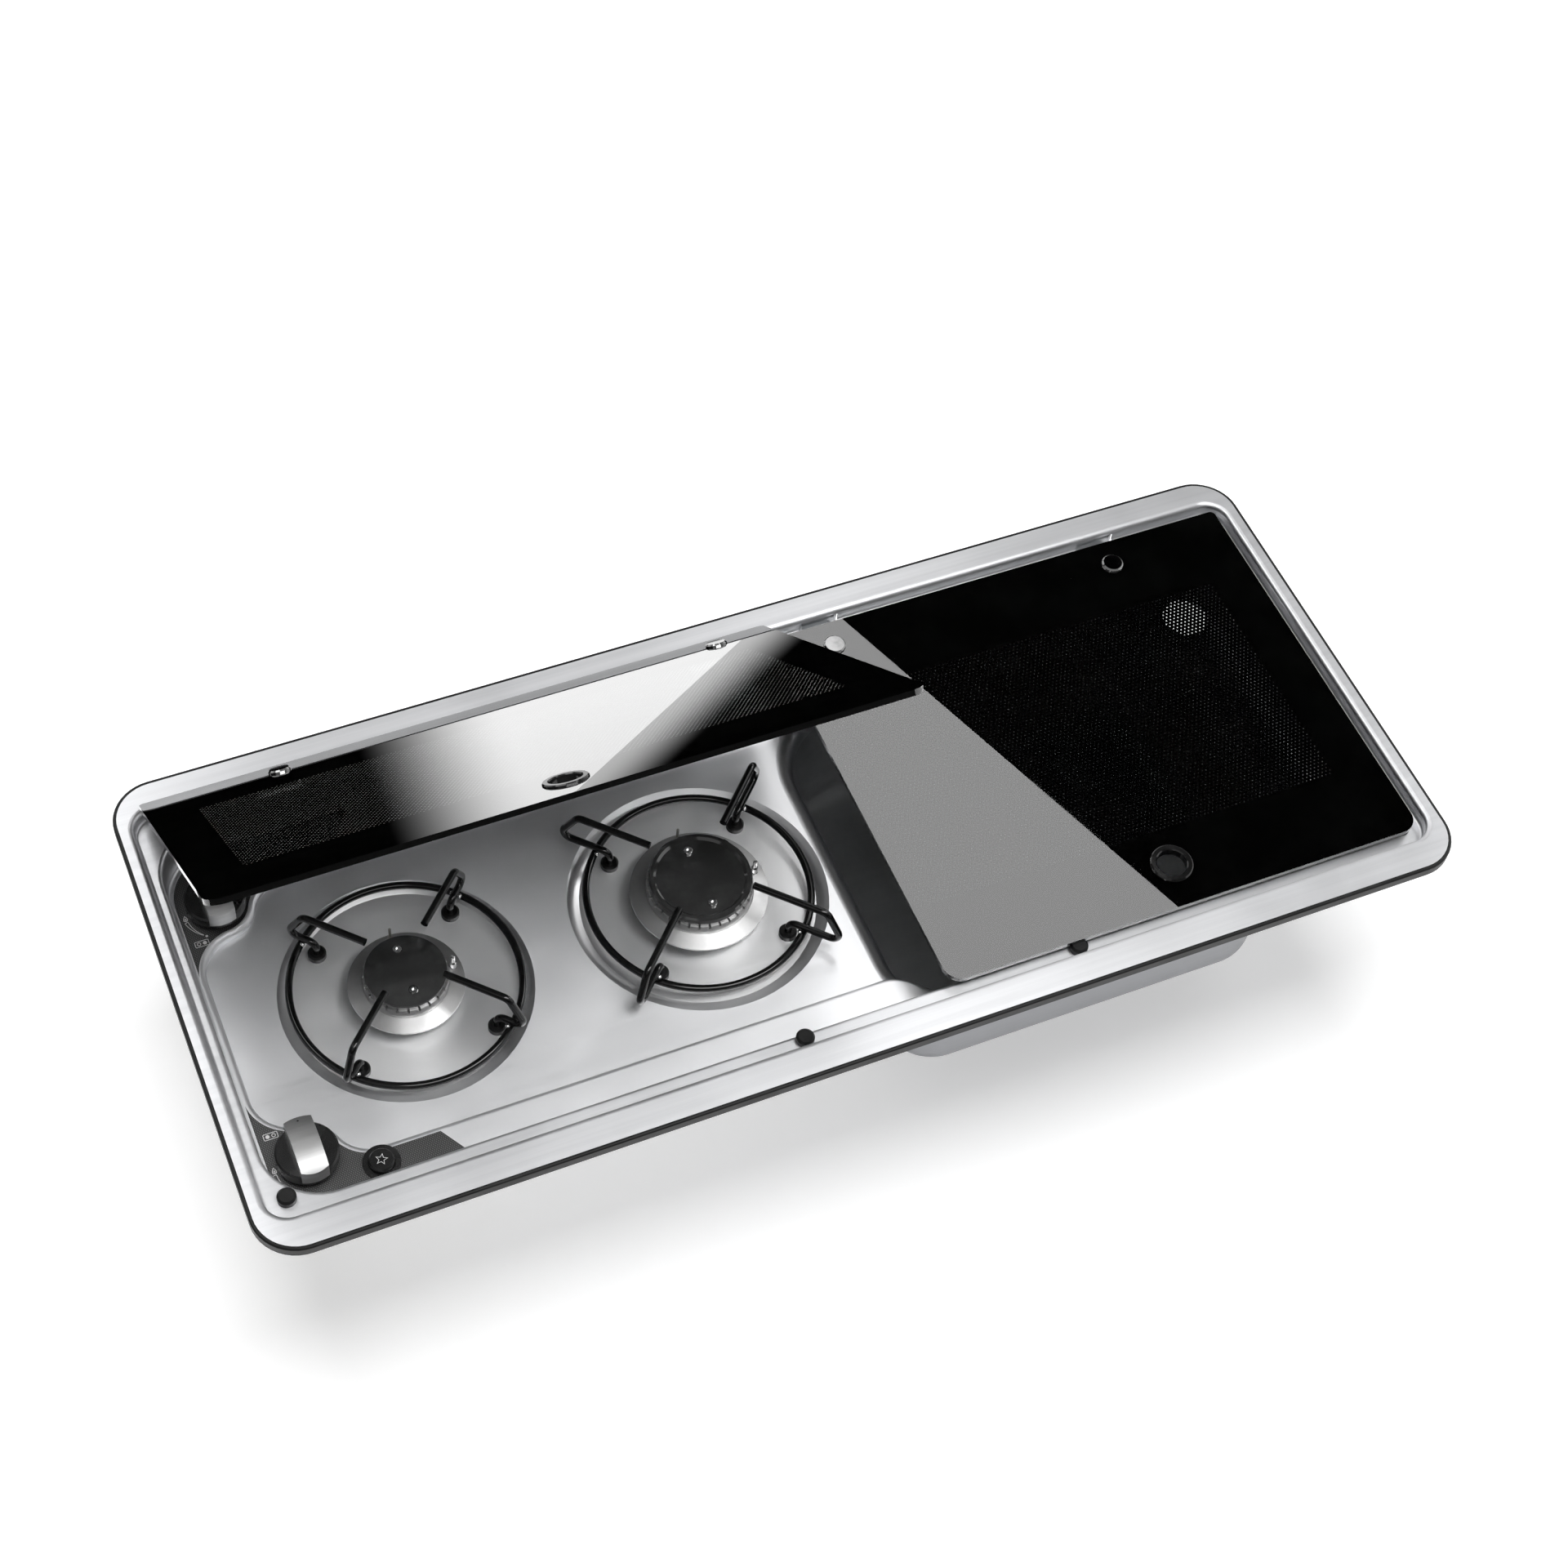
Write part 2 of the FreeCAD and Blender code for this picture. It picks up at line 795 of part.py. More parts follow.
def probe_places(burner_x, body):
    """Spark electrode behind the burner, thermocouple to its right."""
    reach = body + size.probe_gap
    return (burner_x, burner_y + reach), (burner_x + reach, burner_y)


def knob_places():
    return ("front", burner_y - knob_reach), ("rear", burner_y + knob_reach)


def make_pressing():
    s = size
    sheet_solid = cut("pressed_sheet", die("face", as_size(0)), die("back", s.sheet_metal))
    low, high = dish_z - PAST, pan_z
    tools = []
    for burner, x, _, body, _ in burners():
        tools.append(post(f"{burner}_neck_hole", s.burner_neck + s.fit, x, burner_y, low, high))
        for i, (at_x, at_y) in enumerate(foot_places(x)):
            tools.append(post(f"{burner}_bush_hole_{i}", s.bush_neck + s.fit, at_x, at_y, low, high))
        for i, (at_x, at_y) in enumerate(probe_places(x, body)):
            tools.append(post(f"{burner}_probe_hole_{i}", s.probe_radius + s.fit, at_x, at_y, low, high))
    low, high = deck_z - PAST, deck_z + PAST
    for side, y in knob_places():
        tools.append(post(f"{side}_spindle_hole", s.bushing_radius + s.fit, knob_x, y, low, high))
    tools.append(
        post("igniter_hole", s.igniter_body + s.fit, igniter_x, igniter_y, low, high)
    )
    hole_x, hole_y = deck_half - s.tap_hole_inset, deck_north - s.tap_hole_forward
    tools.append(post("mixer_hole", s.tap_hole_radius, hole_x, hole_y, low, high))
    half = s.strap_width / 2 + s.slot_side
    for lid, places in hinge_places():
        for i, x in enumerate(places):
            tools.append(
                box(
                    f"{lid}_hinge_slot_{i}", x - half, x + half,
                    recess_north - s.slot_front, recess_north + s.slot_back, -s.slot_foot, s.slot_top,
                )
            )
    cut("top_pressing", sheet_solid, group("pressing_holes", *tools))


def make_bowl():
    s = size

    def form(name, skin):
        top = seam_z
        block = rounded(
            f"{name}_form", *bowl_sides(skin), bowl_radii(skin), bowl_z - skin, top, draft=s.bowl_draft
        )
        doc.recompute()
        foot = ring_edges(block.Shape, bowl_z - skin, bowl_sides(skin))
        return rounded_edges(f"{name}_footed", block, [(foot, s.bowl_foot + skin)])

    shell = cut("bowl_shell", form("bowl_back", s.sheet_metal), form("bowl_face", as_size(0)))
    drain = post(
        "drain_hole", s.waste_tail + s.fit, waste_x, waste_y, bowl_z - PAST, bowl_z + PAST
    )
    cut("sink_bowl", shell, drain)


def make_seal():
    s = size
    half_x, half_y = half_width, half_depth
    out, inn = s.seal_overhang, s.seal_seat
    trim = rounded(
        "seal_block", -half_x - out, half_x + out, -half_y - out, half_y + out, [s.steel_corner + out] * 4,
        as_size(0), rim_z,
    )
    window = rounded(
        "seal_window", inn - half_x, half_x - inn, inn - half_y, half_y - inn, [s.steel_corner - inn] * 4,
        as_size(-PAST), rim_z + PAST,
    )
    groove = rounded(
        "seal_groove", -half_x, half_x, -half_y, half_y, [s.steel_corner] * 4,
        rim_z - s.sheet_metal, rim_z + PAST,
    )
    ring = cut("seal_ring", trim, window, groove)
    doc.recompute()
    full = (-half_x - out, half_x + out, -half_y - out, half_y + out)
    inside = (-half_x, half_x, -half_y, half_y)
    rounded_edges("edge_seal", ring, [(ring_edges(ring.Shape, rim_z, full, inside), s.seal_round)])


def make_bumpers():
    s = size
    radius = s.bumper_radius
    height = glass_z - ledge_z - s.fit
    edge = s.bumper_edge
    outline = [(0, 0), (radius, 0), (radius, height - edge), (radius - edge, height), (0, height)]
    places = (
        (s.bumper_side - recess_half, recess_south + s.bumper_corner),
        (large_x + s.bumper_hob, recess_south + s.bumper_front),
        (sink_lid_west + s.bumper_sink, recess_south + s.bumper_front),
        (recess_half - s.bumper_side, recess_south + s.bumper_corner),
    )
    pads = [turned(f"bumper_{i}", outline, x, y, ledge_z) for i, (x, y) in enumerate(places)]
    group("lid_bumpers", *pads)


def make_panels():
    """Foils on the deck, between its wall and the pan, ending in a slanted edge along the strip."""
    s = size
    gap = s.panel_gap
    inset = s.deck_foot + gap
    top = deck_z + s.panel_thick
    lean = s.panel_end_lean
    for (side, knob_y), sign in zip(knob_places(), (FRONT, REAR)):
        name = f"{side}_panel"
        foil = rounded(f"{name}_foil", *deck_sides(-inset), [s.deck_corner - inset] * 4, deck_z, top)
        inner = mouth_prism(f"{name}_inner", s.pan_lip + gap, deck_z - PAST, top + PAST)
        tip = pan_side + s.panel_start
        far = -deck_south
        end = s.panel_length
        outline = [
            (0, 0),
            (end, 0),
            (end, pan_half - tip),
            (end + lean, far - tip),
            (0, far - tip),
        ]
        if sign == FRONT:
            outline = [(x, far - tip - y) for x, y in outline][::-1]
            base_y = burner_y - far
        else:
            base_y = burner_y + tip
        region = prism(f"{name}_region", "XY_Plane", outline, as_size(4 * PAST), -deck_half, base_y, deck_z)
        low, high = deck_z - PAST, top + PAST
        holes = [post(f"{name}_stem_hole", s.bushing_radius + s.fit, knob_x, knob_y, low, high)]
        if sign == FRONT:
            holes.append(
                post(
                    f"{name}_igniter_hole", s.igniter_body + s.fit, igniter_x, igniter_y, low, high
                )
            )
        cut(f"{side}_control_panel", common(f"{name}_blank", foil, region), inner, *holes)


def make_burner(name, x, body, skirt, screw_pitch, ports):
    s = size
    neck, bore = s.burner_neck, s.burner_bore
    seat = s.neck_length
    pedestal = seat + s.pedestal_height
    edge = pedestal + s.skirt_rise
    rim = seat + s.cup_height
    chamber = body - s.chamber_wall
    foot = body - s.pedestal_inset
    floor = rim - s.head_spigot - s.fit
    cup = turned(
        f"{name}_cup_blank",
        [
            (bore, 0), (neck, 0), (neck, seat), (foot, seat), (foot, pedestal), (skirt, edge),
            (skirt, edge + s.skirt_edge), (body + s.cup_lip, rim), (chamber, rim), (chamber, floor),
            (bore, floor),
        ],
        x, burner_y, dish_z - seat,
    )
    probes = probe_places(x, body)
    holes = [
        post(f"{name}_cup_hole_{i}", s.probe_radius + s.fit, at_x, at_y, dish_z, dish_z + s.cup_height + PAST)
        for i, (at_x, at_y) in enumerate(probes)
    ]
    cut(f"{name}_burner_cup", cup, *holes)
    make_head(name, x, body, chamber - s.fit, screw_pitch, ports)
    make_cap(name, x, body - s.cap_inset, screw_pitch)
    make_probes(name, probes)
    jet = s.jet_radius
    turned(
        f"{name}_burner_jet",
        [
            (0, 0), (jet, 0), (jet, s.jet_height - s.jet_plate), (s.jet_flange, s.jet_height - s.jet_plate),
            (s.jet_flange, s.jet_height), (s.jet_nozzle, s.jet_height),
            (s.jet_tip, s.jet_height + s.jet_nozzle), (0, s.jet_height + s.jet_nozzle),
        ],
        x, burner_y, dish_z - seat - s.jet_height,
    )


def make_head(name, x, body, spigot, screw_pitch, ports):
    """The flame head: a ring with radial ports round its top edge and two tapped holes for the cap."""
    s = size
    top = s.head_spigot + s.head_height
    label = f"{name}_head_ring"
    ring = turned(
        label,
        [
            (s.head_bore, 0), (spigot, 0), (spigot, s.head_spigot), (body, s.head_spigot), (body, top),
            (s.head_bore, top),
        ],
        x, burner_y, dish_z + s.cup_height - s.head_spigot,
    )
    doc.recompute()
    sketch = new_sketch(ring, "XZ_Plane")
    inner, outer = body - s.port_length, body + PAST
    low, high = top - s.port_depth, top + PAST
    closed_polygon(sketch, [(inner, low), (outer, low), (outer, high), (inner, high)])
    slot = ring.newObject("PartDesign::Pocket", f"{label}_slot")
    slot.Profile = sketch
    slot.SideType = "Symmetric"
    bind(slot, "Length", s.port_width)
    sketch.Visibility = False
    doc.recompute()
    pattern = ring.newObject("PartDesign::PolarPattern", f"{label}_ports")
    pattern.Originals = [slot]
    pattern.Axis = (origin_plane(ring, "Z_Axis"), [""])
    pattern.Angle = 360
    pattern.Occurrences = ports
    ring.Tip = pattern
    base = dish_z + s.cup_height
    holes = [
        post(
            f"{name}_tapped_hole_{side}", s.screw_radius + s.pin_play, x, burner_y + side * screw_pitch,
            base - s.head_spigot - PAST, base + s.head_height + PAST,
        )
        for side in (FRONT, REAR)
    ]
    cut(f"{name}_burner_head", ring, *holes)


def make_cap(name, x, radius, screw_pitch):
    """A domed cap on the small burner, a flat one with a raised rim on the large one, and their screws."""
    s = size
    base = dish_z + s.cup_height + s.head_height
    height = s.cap_height
    if name == "small":
        disc = post(f"{name}_cap_disc", radius, x, burner_y, base, base + height)
        crown = doc.addObject("Part::Sphere", f"{name}_cap_crown")
        ball = (radius * radius + s.cap_crown * s.cap_crown) / (2 * s.cap_crown)
        bind(crown, "Radius", ball)
        place(crown, x, burner_y, base + height - ball)
        blank = common(f"{name}_cap_blank", disc, crown)
        seat = height - s.cap_crown
    else:
        seat = height - s.cap_rim
        blank = turned(
            f"{name}_cap_blank",
            [
                (0, 0), (radius, 0), (radius, height - s.cap_edge), (radius - s.cap_edge, height),
                (radius - s.cap_rim_width, height), (radius - s.cap_rim_width - s.cap_rim, seat), (0, seat),
            ],
            x, burner_y, base,
        )
    reach = s.screw_head + s.fit
    tools, screws = [], []
    for side in (FRONT, REAR):
        y = burner_y + side * screw_pitch
        hole = post(f"{name}_screw_hole_{side}", s.screw_radius + s.pin_play, x, y, base - PAST, base + PAST)
        sink = post(f"{name}_screw_seat_{side}", reach, x, y, base + seat - s.fit, base + height + PAST)
        tools += [hole, sink]
        screws.append(make_screw(f"{name}_cap_screw_{side}", x, y, base + seat - s.fit))
    cut(f"{name}_burner_cap", blank, *tools)
    group(f"{name}_burner_screws", *screws)


def make_screw(label, x, y, seat):
    s = size
    top = s.screw_length + s.screw_head_height
    return turned(
        label,
        [
            (0, 0), (s.screw_radius, 0), (s.screw_radius, s.screw_length), (s.screw_head, s.screw_length),
            (s.screw_head, top - s.screw_edge), (s.screw_head - s.screw_edge, top), (s.socket_radius, top),
            (s.socket_radius, top - s.socket_depth), (0, top - s.socket_depth),
        ],
        x, y, seat - s.screw_length,
    )


def make_probes(name, probes):
    """Ceramic spark electrode and metal thermocouple, both standing through the dish and the skirt."""
    s = size
    low = dish_z + s.cup_height - s.probe_length
    kinds = (
        ("electrode", s.electrode_tip, s.electrode_height, s.electrode_proud),
        ("thermocouple", s.thermocouple_tip, s.thermocouple_height, s.thermocouple_proud),
    )
    for (kind, tip, height, proud), (x, y) in zip(kinds, probes):
        collar = s.probe_length + proud
        top = height + s.probe_length - s.cup_height
        turned(
            f"{name}_burner_{kind}",
            [
                (0, 0), (s.probe_radius, 0), (s.probe_radius, collar), (tip, collar + s.probe_shoulder),
                (tip, top - tip / 2), (tip / 2, top), (0, top),
            ],
            x, y, low,
        )


def bent_path(points, radius):
    """A wire of straight runs through points, with a tangent arc of one radius at each corner."""
    corners = [FreeCAD.Vector(*[float(c) for c in p]) for p in points]
    edges = []
    start = corners[0]
    for before, corner, after in zip(corners, corners[1:], corners[2:]):
        back = (before - corner).normalize()
        on = (after - corner).normalize()
        half = back.getAngle(on) / 2
        trim = float(radius) / math.tan(half)
        inward = (back + on).normalize()
        enter = corner + back * trim
        leave = corner + on * trim
        middle = corner + inward * (float(radius) / math.sin(half) - float(radius))
        edges.append(Part.LineSegment(start, enter).toShape())
        edges.append(Part.Arc(enter, middle, leave).toShape())
        start = leave
    edges.append(Part.LineSegment(start, corners[-1]).toShape())
    return Part.Wire(edges)


def bent_rod(label, points, bend, radius):
    """A round rod or tube along a bent path."""
    path = doc.addObject("Part::Feature", f"{label}_path")
    path.Shape = bent_path(points, bend)
    first = path.Shape.Edges[0]
    heading = first.tangentAt(first.FirstParameter)
    ring = doc.addObject("Part::Circle", f"{label}_section")
    bind(ring, "Radius", radius)
    ring.Placement = FreeCAD.Placement(
        path.Shape.Vertexes[0].Point, FreeCAD.Rotation(FreeCAD.Vector(0, 0, 1), heading)
    )
    rod = doc.addObject("Part::Sweep", label)
    rod.Sections = [ring]
    rod.Spine = (path, [f"Edge{i}" for i in range(1, len(path.Shape.Edges) + 1)])
    rod.Solid = True
    rod.Frenet = False
    return rod


def make_support(name, x, elbow, finger):
    """A wire ring with four arms welded on top of it, each on a foot in a rubber bush."""
    s = size
    ring_z = dish_z + s.ring_height
    leg_z = ring_z + 2 * s.wire_radius - s.weld_depth
    finger_z = leg_z + s.riser_height
    ring = doc.addObject("Part::Torus", f"{name}_support_ring")
    bind(ring, "Radius1", s.ring_radius * hob_scale)
    bind(ring, "Radius2", s.wire_radius)
    place(ring, x, burner_y, ring_z)
    foot = s.foot_radius * hob_scale
    reaches = (
        (foot, dish_z),
        (foot, leg_z),
        (elbow, leg_z),
        (elbow - s.riser_lean, finger_z),
        (finger, finger_z),
    )
    arms = []
    for i, angle in enumerate(arm_angles()):
        across, along = math.cos(angle), math.sin(angle)
        points = [(x + reach * across, burner_y + reach * along, z) for reach, z in reaches]
        arms.append(bent_rod(f"{name}_support_arm_{i}", points, s.wire_bend, s.wire_radius))
    fuse(f"{name}_pan_support", ring, *arms)
    low = s.bush_lip_height + s.sheet_metal
    top = low + s.bush_height
    bore = s.wire_radius + s.pin_play
    bushes = []
    for i, (at_x, at_y) in enumerate(foot_places(x)):
        bushes.append(
            turned(
                f"{name}_bush_{i}",
                [
                    (bore, 0), (s.bush_lip, 0), (s.bush_lip, s.bush_lip_height),
                    (s.bush_neck, s.bush_lip_height), (s.bush_neck, low), (s.bush_radius, low),
                    (s.bush_radius, top - s.bush_edge), (s.bush_radius - s.bush_edge, top), (bore, top),
                ],
                at_x, at_y, dish_z - low,
            )
        )
    group(f"{name}_support_bushes", *bushes)


def make_taps():
    """Gas tap bodies under the deck, with a plunger, a spindle and a knob on each."""
    s = size
    base = deck_z - s.sheet_metal - s.tap_height
    deck_top = s.tap_height + s.sheet_metal
    bore = s.spindle_radius + s.pin_play
    hollow = s.plunger_radius + s.pin_play
    plunger_rest = s.tap_floor + s.knob_push + s.plunger_clear
    plunger_top = plunger_rest + s.plunger_height
    for side, y in knob_places():
        body = turned(
            f"{side}_tap_body",
            [
                (0, 0), (s.tap_radius, 0), (s.tap_radius, s.tap_height), (s.bushing_radius, s.tap_height),
                (s.bushing_radius, deck_top), (bore, deck_top), (bore, s.chamber_height),
                (hollow, s.chamber_height), (hollow, s.tap_floor), (0, s.tap_floor),
            ],
            knob_x, y, base,
        )
        wall = (s.tap_radius + s.plunger_radius) / 2
        boss_z = base + s.boss_height
        outlet = rod_along(
            f"{side}_tap_outlet", (1, 0, 0), s.boss_radius, s.boss_reach - wall, knob_x + wall, y, boss_z
        )
        inlet_reach = s.tap_radius + s.rail_gap - wall
        inlet = rod_along(
            f"{side}_tap_inlet", (-1, 0, 0), s.boss_radius, inlet_reach, knob_x - wall, y, boss_z
        )
        fuse(f"{side}_gas_tap", body, outlet, inlet)
        post(
            f"{side}_tap_plunger", s.plunger_radius, knob_x, y, base + plunger_rest, base + plunger_top
        )
        post(
            f"{side}_tap_spindle", s.spindle_radius, knob_x, y, base + plunger_top,
            deck_z + knob_gap + s.spindle_engage,
        )
        make_knob(side, y)


def make_knob(side, y):
    """A round body with a slot across it for an arched grip that runs over both its edges."""
    s = size
    base = deck_z + knob_gap
    top = base + s.grip_height + PAST
    radius, height = s.knob_radius, s.knob_height
    disc = turned(
        f"{side}_knob_disc",
        [
            (s.spindle_radius + s.pin_play, 0), (radius, 0), (radius, height - s.knob_edge),
            (radius - s.knob_edge, height), (0, height), (0, s.spindle_engage + s.fit),
            (s.spindle_radius + s.pin_play, s.spindle_engage + s.fit),
        ],
        knob_x, y, base,
    )
    seat = s.spindle_engage + s.fit + s.knob_web
    half = s.grip_width / 2
    reach = radius + PAST

    def across(label, low):
        return box(label, knob_x - half, knob_x + half, y - reach, y + reach, low, top)

    slot = across(f"{side}_knob_slot", base + seat)
    ends = cut(
        f"{side}_knob_ends", across(f"{side}_knob_end_slot", base + s.knob_floor),
        post(f"{side}_knob_core", radius - s.knob_floor, knob_x, y, base - PAST, top + PAST),
    )
    cut(f"{side}_knob", disc, slot, ends)
    outline = post(f"{side}_grip_outline", radius + s.grip_overhang, knob_x, y, base, top)
    arch = rod_along(
        f"{side}_grip_arch", (1, 0, 0), s.grip_arch, 2 * (half + PAST), knob_x - half - PAST, y,
        base + s.grip_height - s.grip_arch,
    )
    common(f"{side}_knob_grip", fuse(f"{side}_grip_slab", slot, ends), outline, arch)


def make_pipes():
    s = size
    boss_z = deck_z - s.sheet_metal - s.tap_height + s.boss_height
    half = s.rail_width / 2
    east = knob_x - s.tap_radius - s.rail_gap
    (_, front_y), (_, rear_y) = knob_places()
    north = rear_y + s.rail_end
    rail = box(
        "rail_bar", east - s.rail_width, east, front_y - s.rail_end, north, boss_z - half, boss_z + half
    )
    inlet = rod_along(
        "rail_inlet", (0, 1, 0), s.inlet_radius, s.inlet_length, east - half, north, boss_z
    )
    fuse("gas_rail", rail, inlet)
    jet_z = dish_z - s.neck_length - s.jet_height / 2
    start = knob_x + s.boss_reach
    for (side, y), (_, x, _, _, _), sign in zip(knob_places(), burners(), (FRONT, REAR)):
        turn_y = burner_y + sign * knob_reach / 2
        points = [
            (start, y, boss_z),
            (x, y, boss_z),
            (x, turn_y, jet_z),
            (x, burner_y + sign * s.jet_radius, jet_z),
        ]
        bent_rod(f"{side}_gas_tube", points, s.tube_bend, s.tube_radius)


def make_igniter():
    s = size
    x, y = igniter_x, igniter_y
    base = deck_z - s.sheet_metal - s.igniter_depth
    bezel = s.igniter_depth + s.sheet_metal + s.panel_thick
    top = bezel + s.igniter_bezel_height
    bore = s.button_radius + s.button_gap
    turned(
        "igniter_housing",
        [
            (0, 0), (s.igniter_body, 0), (s.igniter_body, bezel), (s.igniter_bezel, bezel),
            (s.igniter_bezel, top), (bore, top), (bore, s.igniter_floor), (0, s.igniter_floor),
        ],
        x, y, base,
    )
    foot = s.igniter_floor + s.button_space
    crown = top + s.button_proud - foot
    turned(
        "igniter_button",
        [
            (0, 0), (s.button_radius, 0), (s.button_radius, crown - s.button_edge),
            (s.button_radius - s.button_edge, crown), (0, crown),
        ],
        x, y, base + foot,
    )


def make_waste():
    s = size
    x, y = waste_x, waste_y
    tail, wall, length = s.waste_tail, s.waste_wall, s.waste_length
    grid = length - s.strainer_drop
    bowl = turned(
        "strainer_bowl",
        [
            (tail - wall, 0), (tail, 0), (tail, length), (s.waste_flange, length),
            (s.waste_flange, length + wall), (tail - wall, length + wall), (tail - wall, grid + wall),
            (0, grid + wall), (0, grid), (tail - wall, grid),
        ],
        x, y, bowl_z - length,
    )
    holes = []
    ring = s.strainer_ring
    for i in range(STRAINER_HOLES):
        angle = 2 * math.pi * i / STRAINER_HOLES
        at_x, at_y = x + ring * math.cos(angle), y + ring * math.sin(angle)
        holes.append(post(f"strainer_hole_{i}", s.strainer_hole, at_x, at_y, bowl_z - length, bowl_z))
    cut("waste_strainer", bowl, group("strainer_holes", *holes))
    under = bowl_z - s.sheet_metal
    bore = tail + s.fit
    turned(
        "waste_gasket",
        [(bore, 0), (s.waste_flange, 0), (s.waste_flange, s.gasket_thick), (bore, s.gasket_thick)],
        x, y, under - s.gasket_thick,
    )
    nut_z = under - s.gasket_thick - s.nut_height
    nut = doc.addObject("Part::Prism", "nut_blank")
    nut.Polygon = NUT_SIDES
    bind(nut, "Circumradius", s.nut_radius)
    bind(nut, "Height", s.nut_height)
    place(nut, x, y, nut_z)
    cut("waste_nut", nut, post("nut_bore", bore, x, y, nut_z - PAST, nut_z + s.nut_height + PAST))
    outer = s.elbow_radius
    cup_z = nut_z - s.elbow_drop
    cup = post("elbow_cup", outer, x, y, cup_z, nut_z)
    spout_z = cup_z + s.outlet_radius + s.waste_wall
    spout = rod_along("elbow_spout", (0, 1, 0), s.outlet_radius, s.outlet_length, x, y, spout_z)
    collar = rod_along(
        "elbow_collar", (0, 1, 0), s.outlet_collar, s.outlet_length - s.hose_length, x, y, spout_z
    )
    cup_bore = post("elbow_cup_bore", bore, x, y, cup_z + 2 * wall, nut_z + PAST)
    spout_bore = rod_along(
        "elbow_spout_bore", (0, 1, 0), s.outlet_bore, s.outlet_length + PAST, x, y, spout_z
    )
    cut("waste_elbow", fuse("elbow_body", cup, collar, spout), cup_bore, spout_bore)


def make_hinges():
    """Brackets under the rear flange: a plate and two ears that hold the pin."""
    s = size
    under = rim_z - s.sheet_metal
    half = s.strap_width / 2 + s.ear_gap
    wide = half + s.ear_thick
    eye = s.eye_radius
    for lid, places in hinge_places():
        brackets, pins = [], []
        for i, x in enumerate(places):
            name = f"{lid}_bracket_{i}"
            south, north = hinge_y - eye, hinge_y + s.bracket_depth
            plate = box(
                f"{name}_plate", x - wide, x + wide, hinge_y, north, under - s.bracket_plate, under
            )
            ears = [
                box(
                    f"{name}_ear_{k}", x + edge, x + edge + s.ear_thick, south, north, hinge_z - eye,
                    under - s.bracket_plate,
                )
                for k, edge in enumerate((-wide, half))
            ]
            bore = rod_along(
                f"{name}_bore", (1, 0, 0), s.pin_radius + s.pin_play, 2 * (wide + PAST), x - wide - PAST,
                hinge_y, hinge_z,
            )
            brackets.append(cut(name, fuse(f"{name}_body", plate, *ears), bore))
            reach = wide + s.pin_overhang
            pins.append(
                rod_along(
                    f"{lid}_pin_{i}", (1, 0, 0), s.pin_radius, 2 * reach, x - reach, hinge_y, hinge_z
                )
            )
        group(f"{lid}_hinge_brackets", *brackets)
        group(f"{lid}_hinge_pins", *pins)


def hinged(target, angle):
    """Hangs a lid piece, drawn round the hinge axis with the lid shut, at the lid's angle."""
    if float(angle) != 0:
        target.Placement = FreeCAD.Placement(
            FreeCAD.Vector(), FreeCAD.Rotation(FreeCAD.Vector(-1, 0, 0), float(angle))
        )
        bind(target, "Placement.Rotation.Angle", angle)
    return place(target, 0, hinge_y, hinge_z)


def make_lid(lid, west, east, hinge_xs, finger_x, angle):
    """Glass with two goose-neck hinge arms, their caps and a finger ring, drawn round the hinge axis."""
    s = size
    under = glass_z - hinge_z
    over = under + s.glass_thick
    south = lid_south - hinge_y
    north = lid_north - hinge_y
    cap_y = north - s.hinge_inset
    finger_y = south + s.finger_front
    corners = [s.lid_corner, s.lid_corner, s.lid_rear_corner, s.lid_rear_corner]
    sheet_glass = rounded(f"{lid}_lid_sheet", west, east, south, north, corners, under, over)
    holes = [
        post(f"{lid}_cap_hole_{i}", s.cap_stem + s.fit, x, cap_y, under - PAST, over + PAST)
        for i, x in enumerate(hinge_xs)
    ]
    holes.append(
        post(f"{lid}_finger_hole", s.finger_sleeve + s.fit, finger_x, finger_y, under - PAST, over + PAST)
    )
    hinged(cut(f"{lid}_lid_glass", sheet_glass, *holes), angle)
    arms = [make_arm(f"{lid}_arm_{i}", x, cap_y, under) for i, x in enumerate(hinge_xs)]
    hinged(group(f"{lid}_lid_hinge_arms", *arms), angle)
    stem, head = s.cap_stem, s.glass_thick
    crown, edge = head + s.cap_thick, s.hinge_cap_edge
    outline = [
        (0, 0), (stem, 0), (stem, head), (s.cap_radius, head), (s.cap_radius, crown - edge),
        (s.cap_radius - edge, crown), (0, crown),
    ]
    caps = [turned(f"{lid}_cap_{i}", outline, x, cap_y, under) for i, x in enumerate(hinge_xs)]
    hinged(group(f"{lid}_lid_hinge_caps", *caps), angle)
    lip = s.finger_lip_height
    seat = lip + s.glass_thick
    rim = seat + s.finger_rim
    bevel = s.finger_edge
    ring = turned(
        f"{lid}_finger_grommet",
        [
            (s.finger_bore, 0), (s.finger_lip, 0), (s.finger_lip, lip), (s.finger_sleeve, lip),
            (s.finger_sleeve, seat), (s.finger_outer, seat), (s.finger_outer, rim - bevel),
            (s.finger_outer - bevel, rim), (s.finger_bore + bevel, rim), (s.finger_bore, rim - bevel),
        ],
        finger_x, finger_y, under - lip,
    )
    hinged(group(f"{lid}_lid_finger_ring", ring), angle)


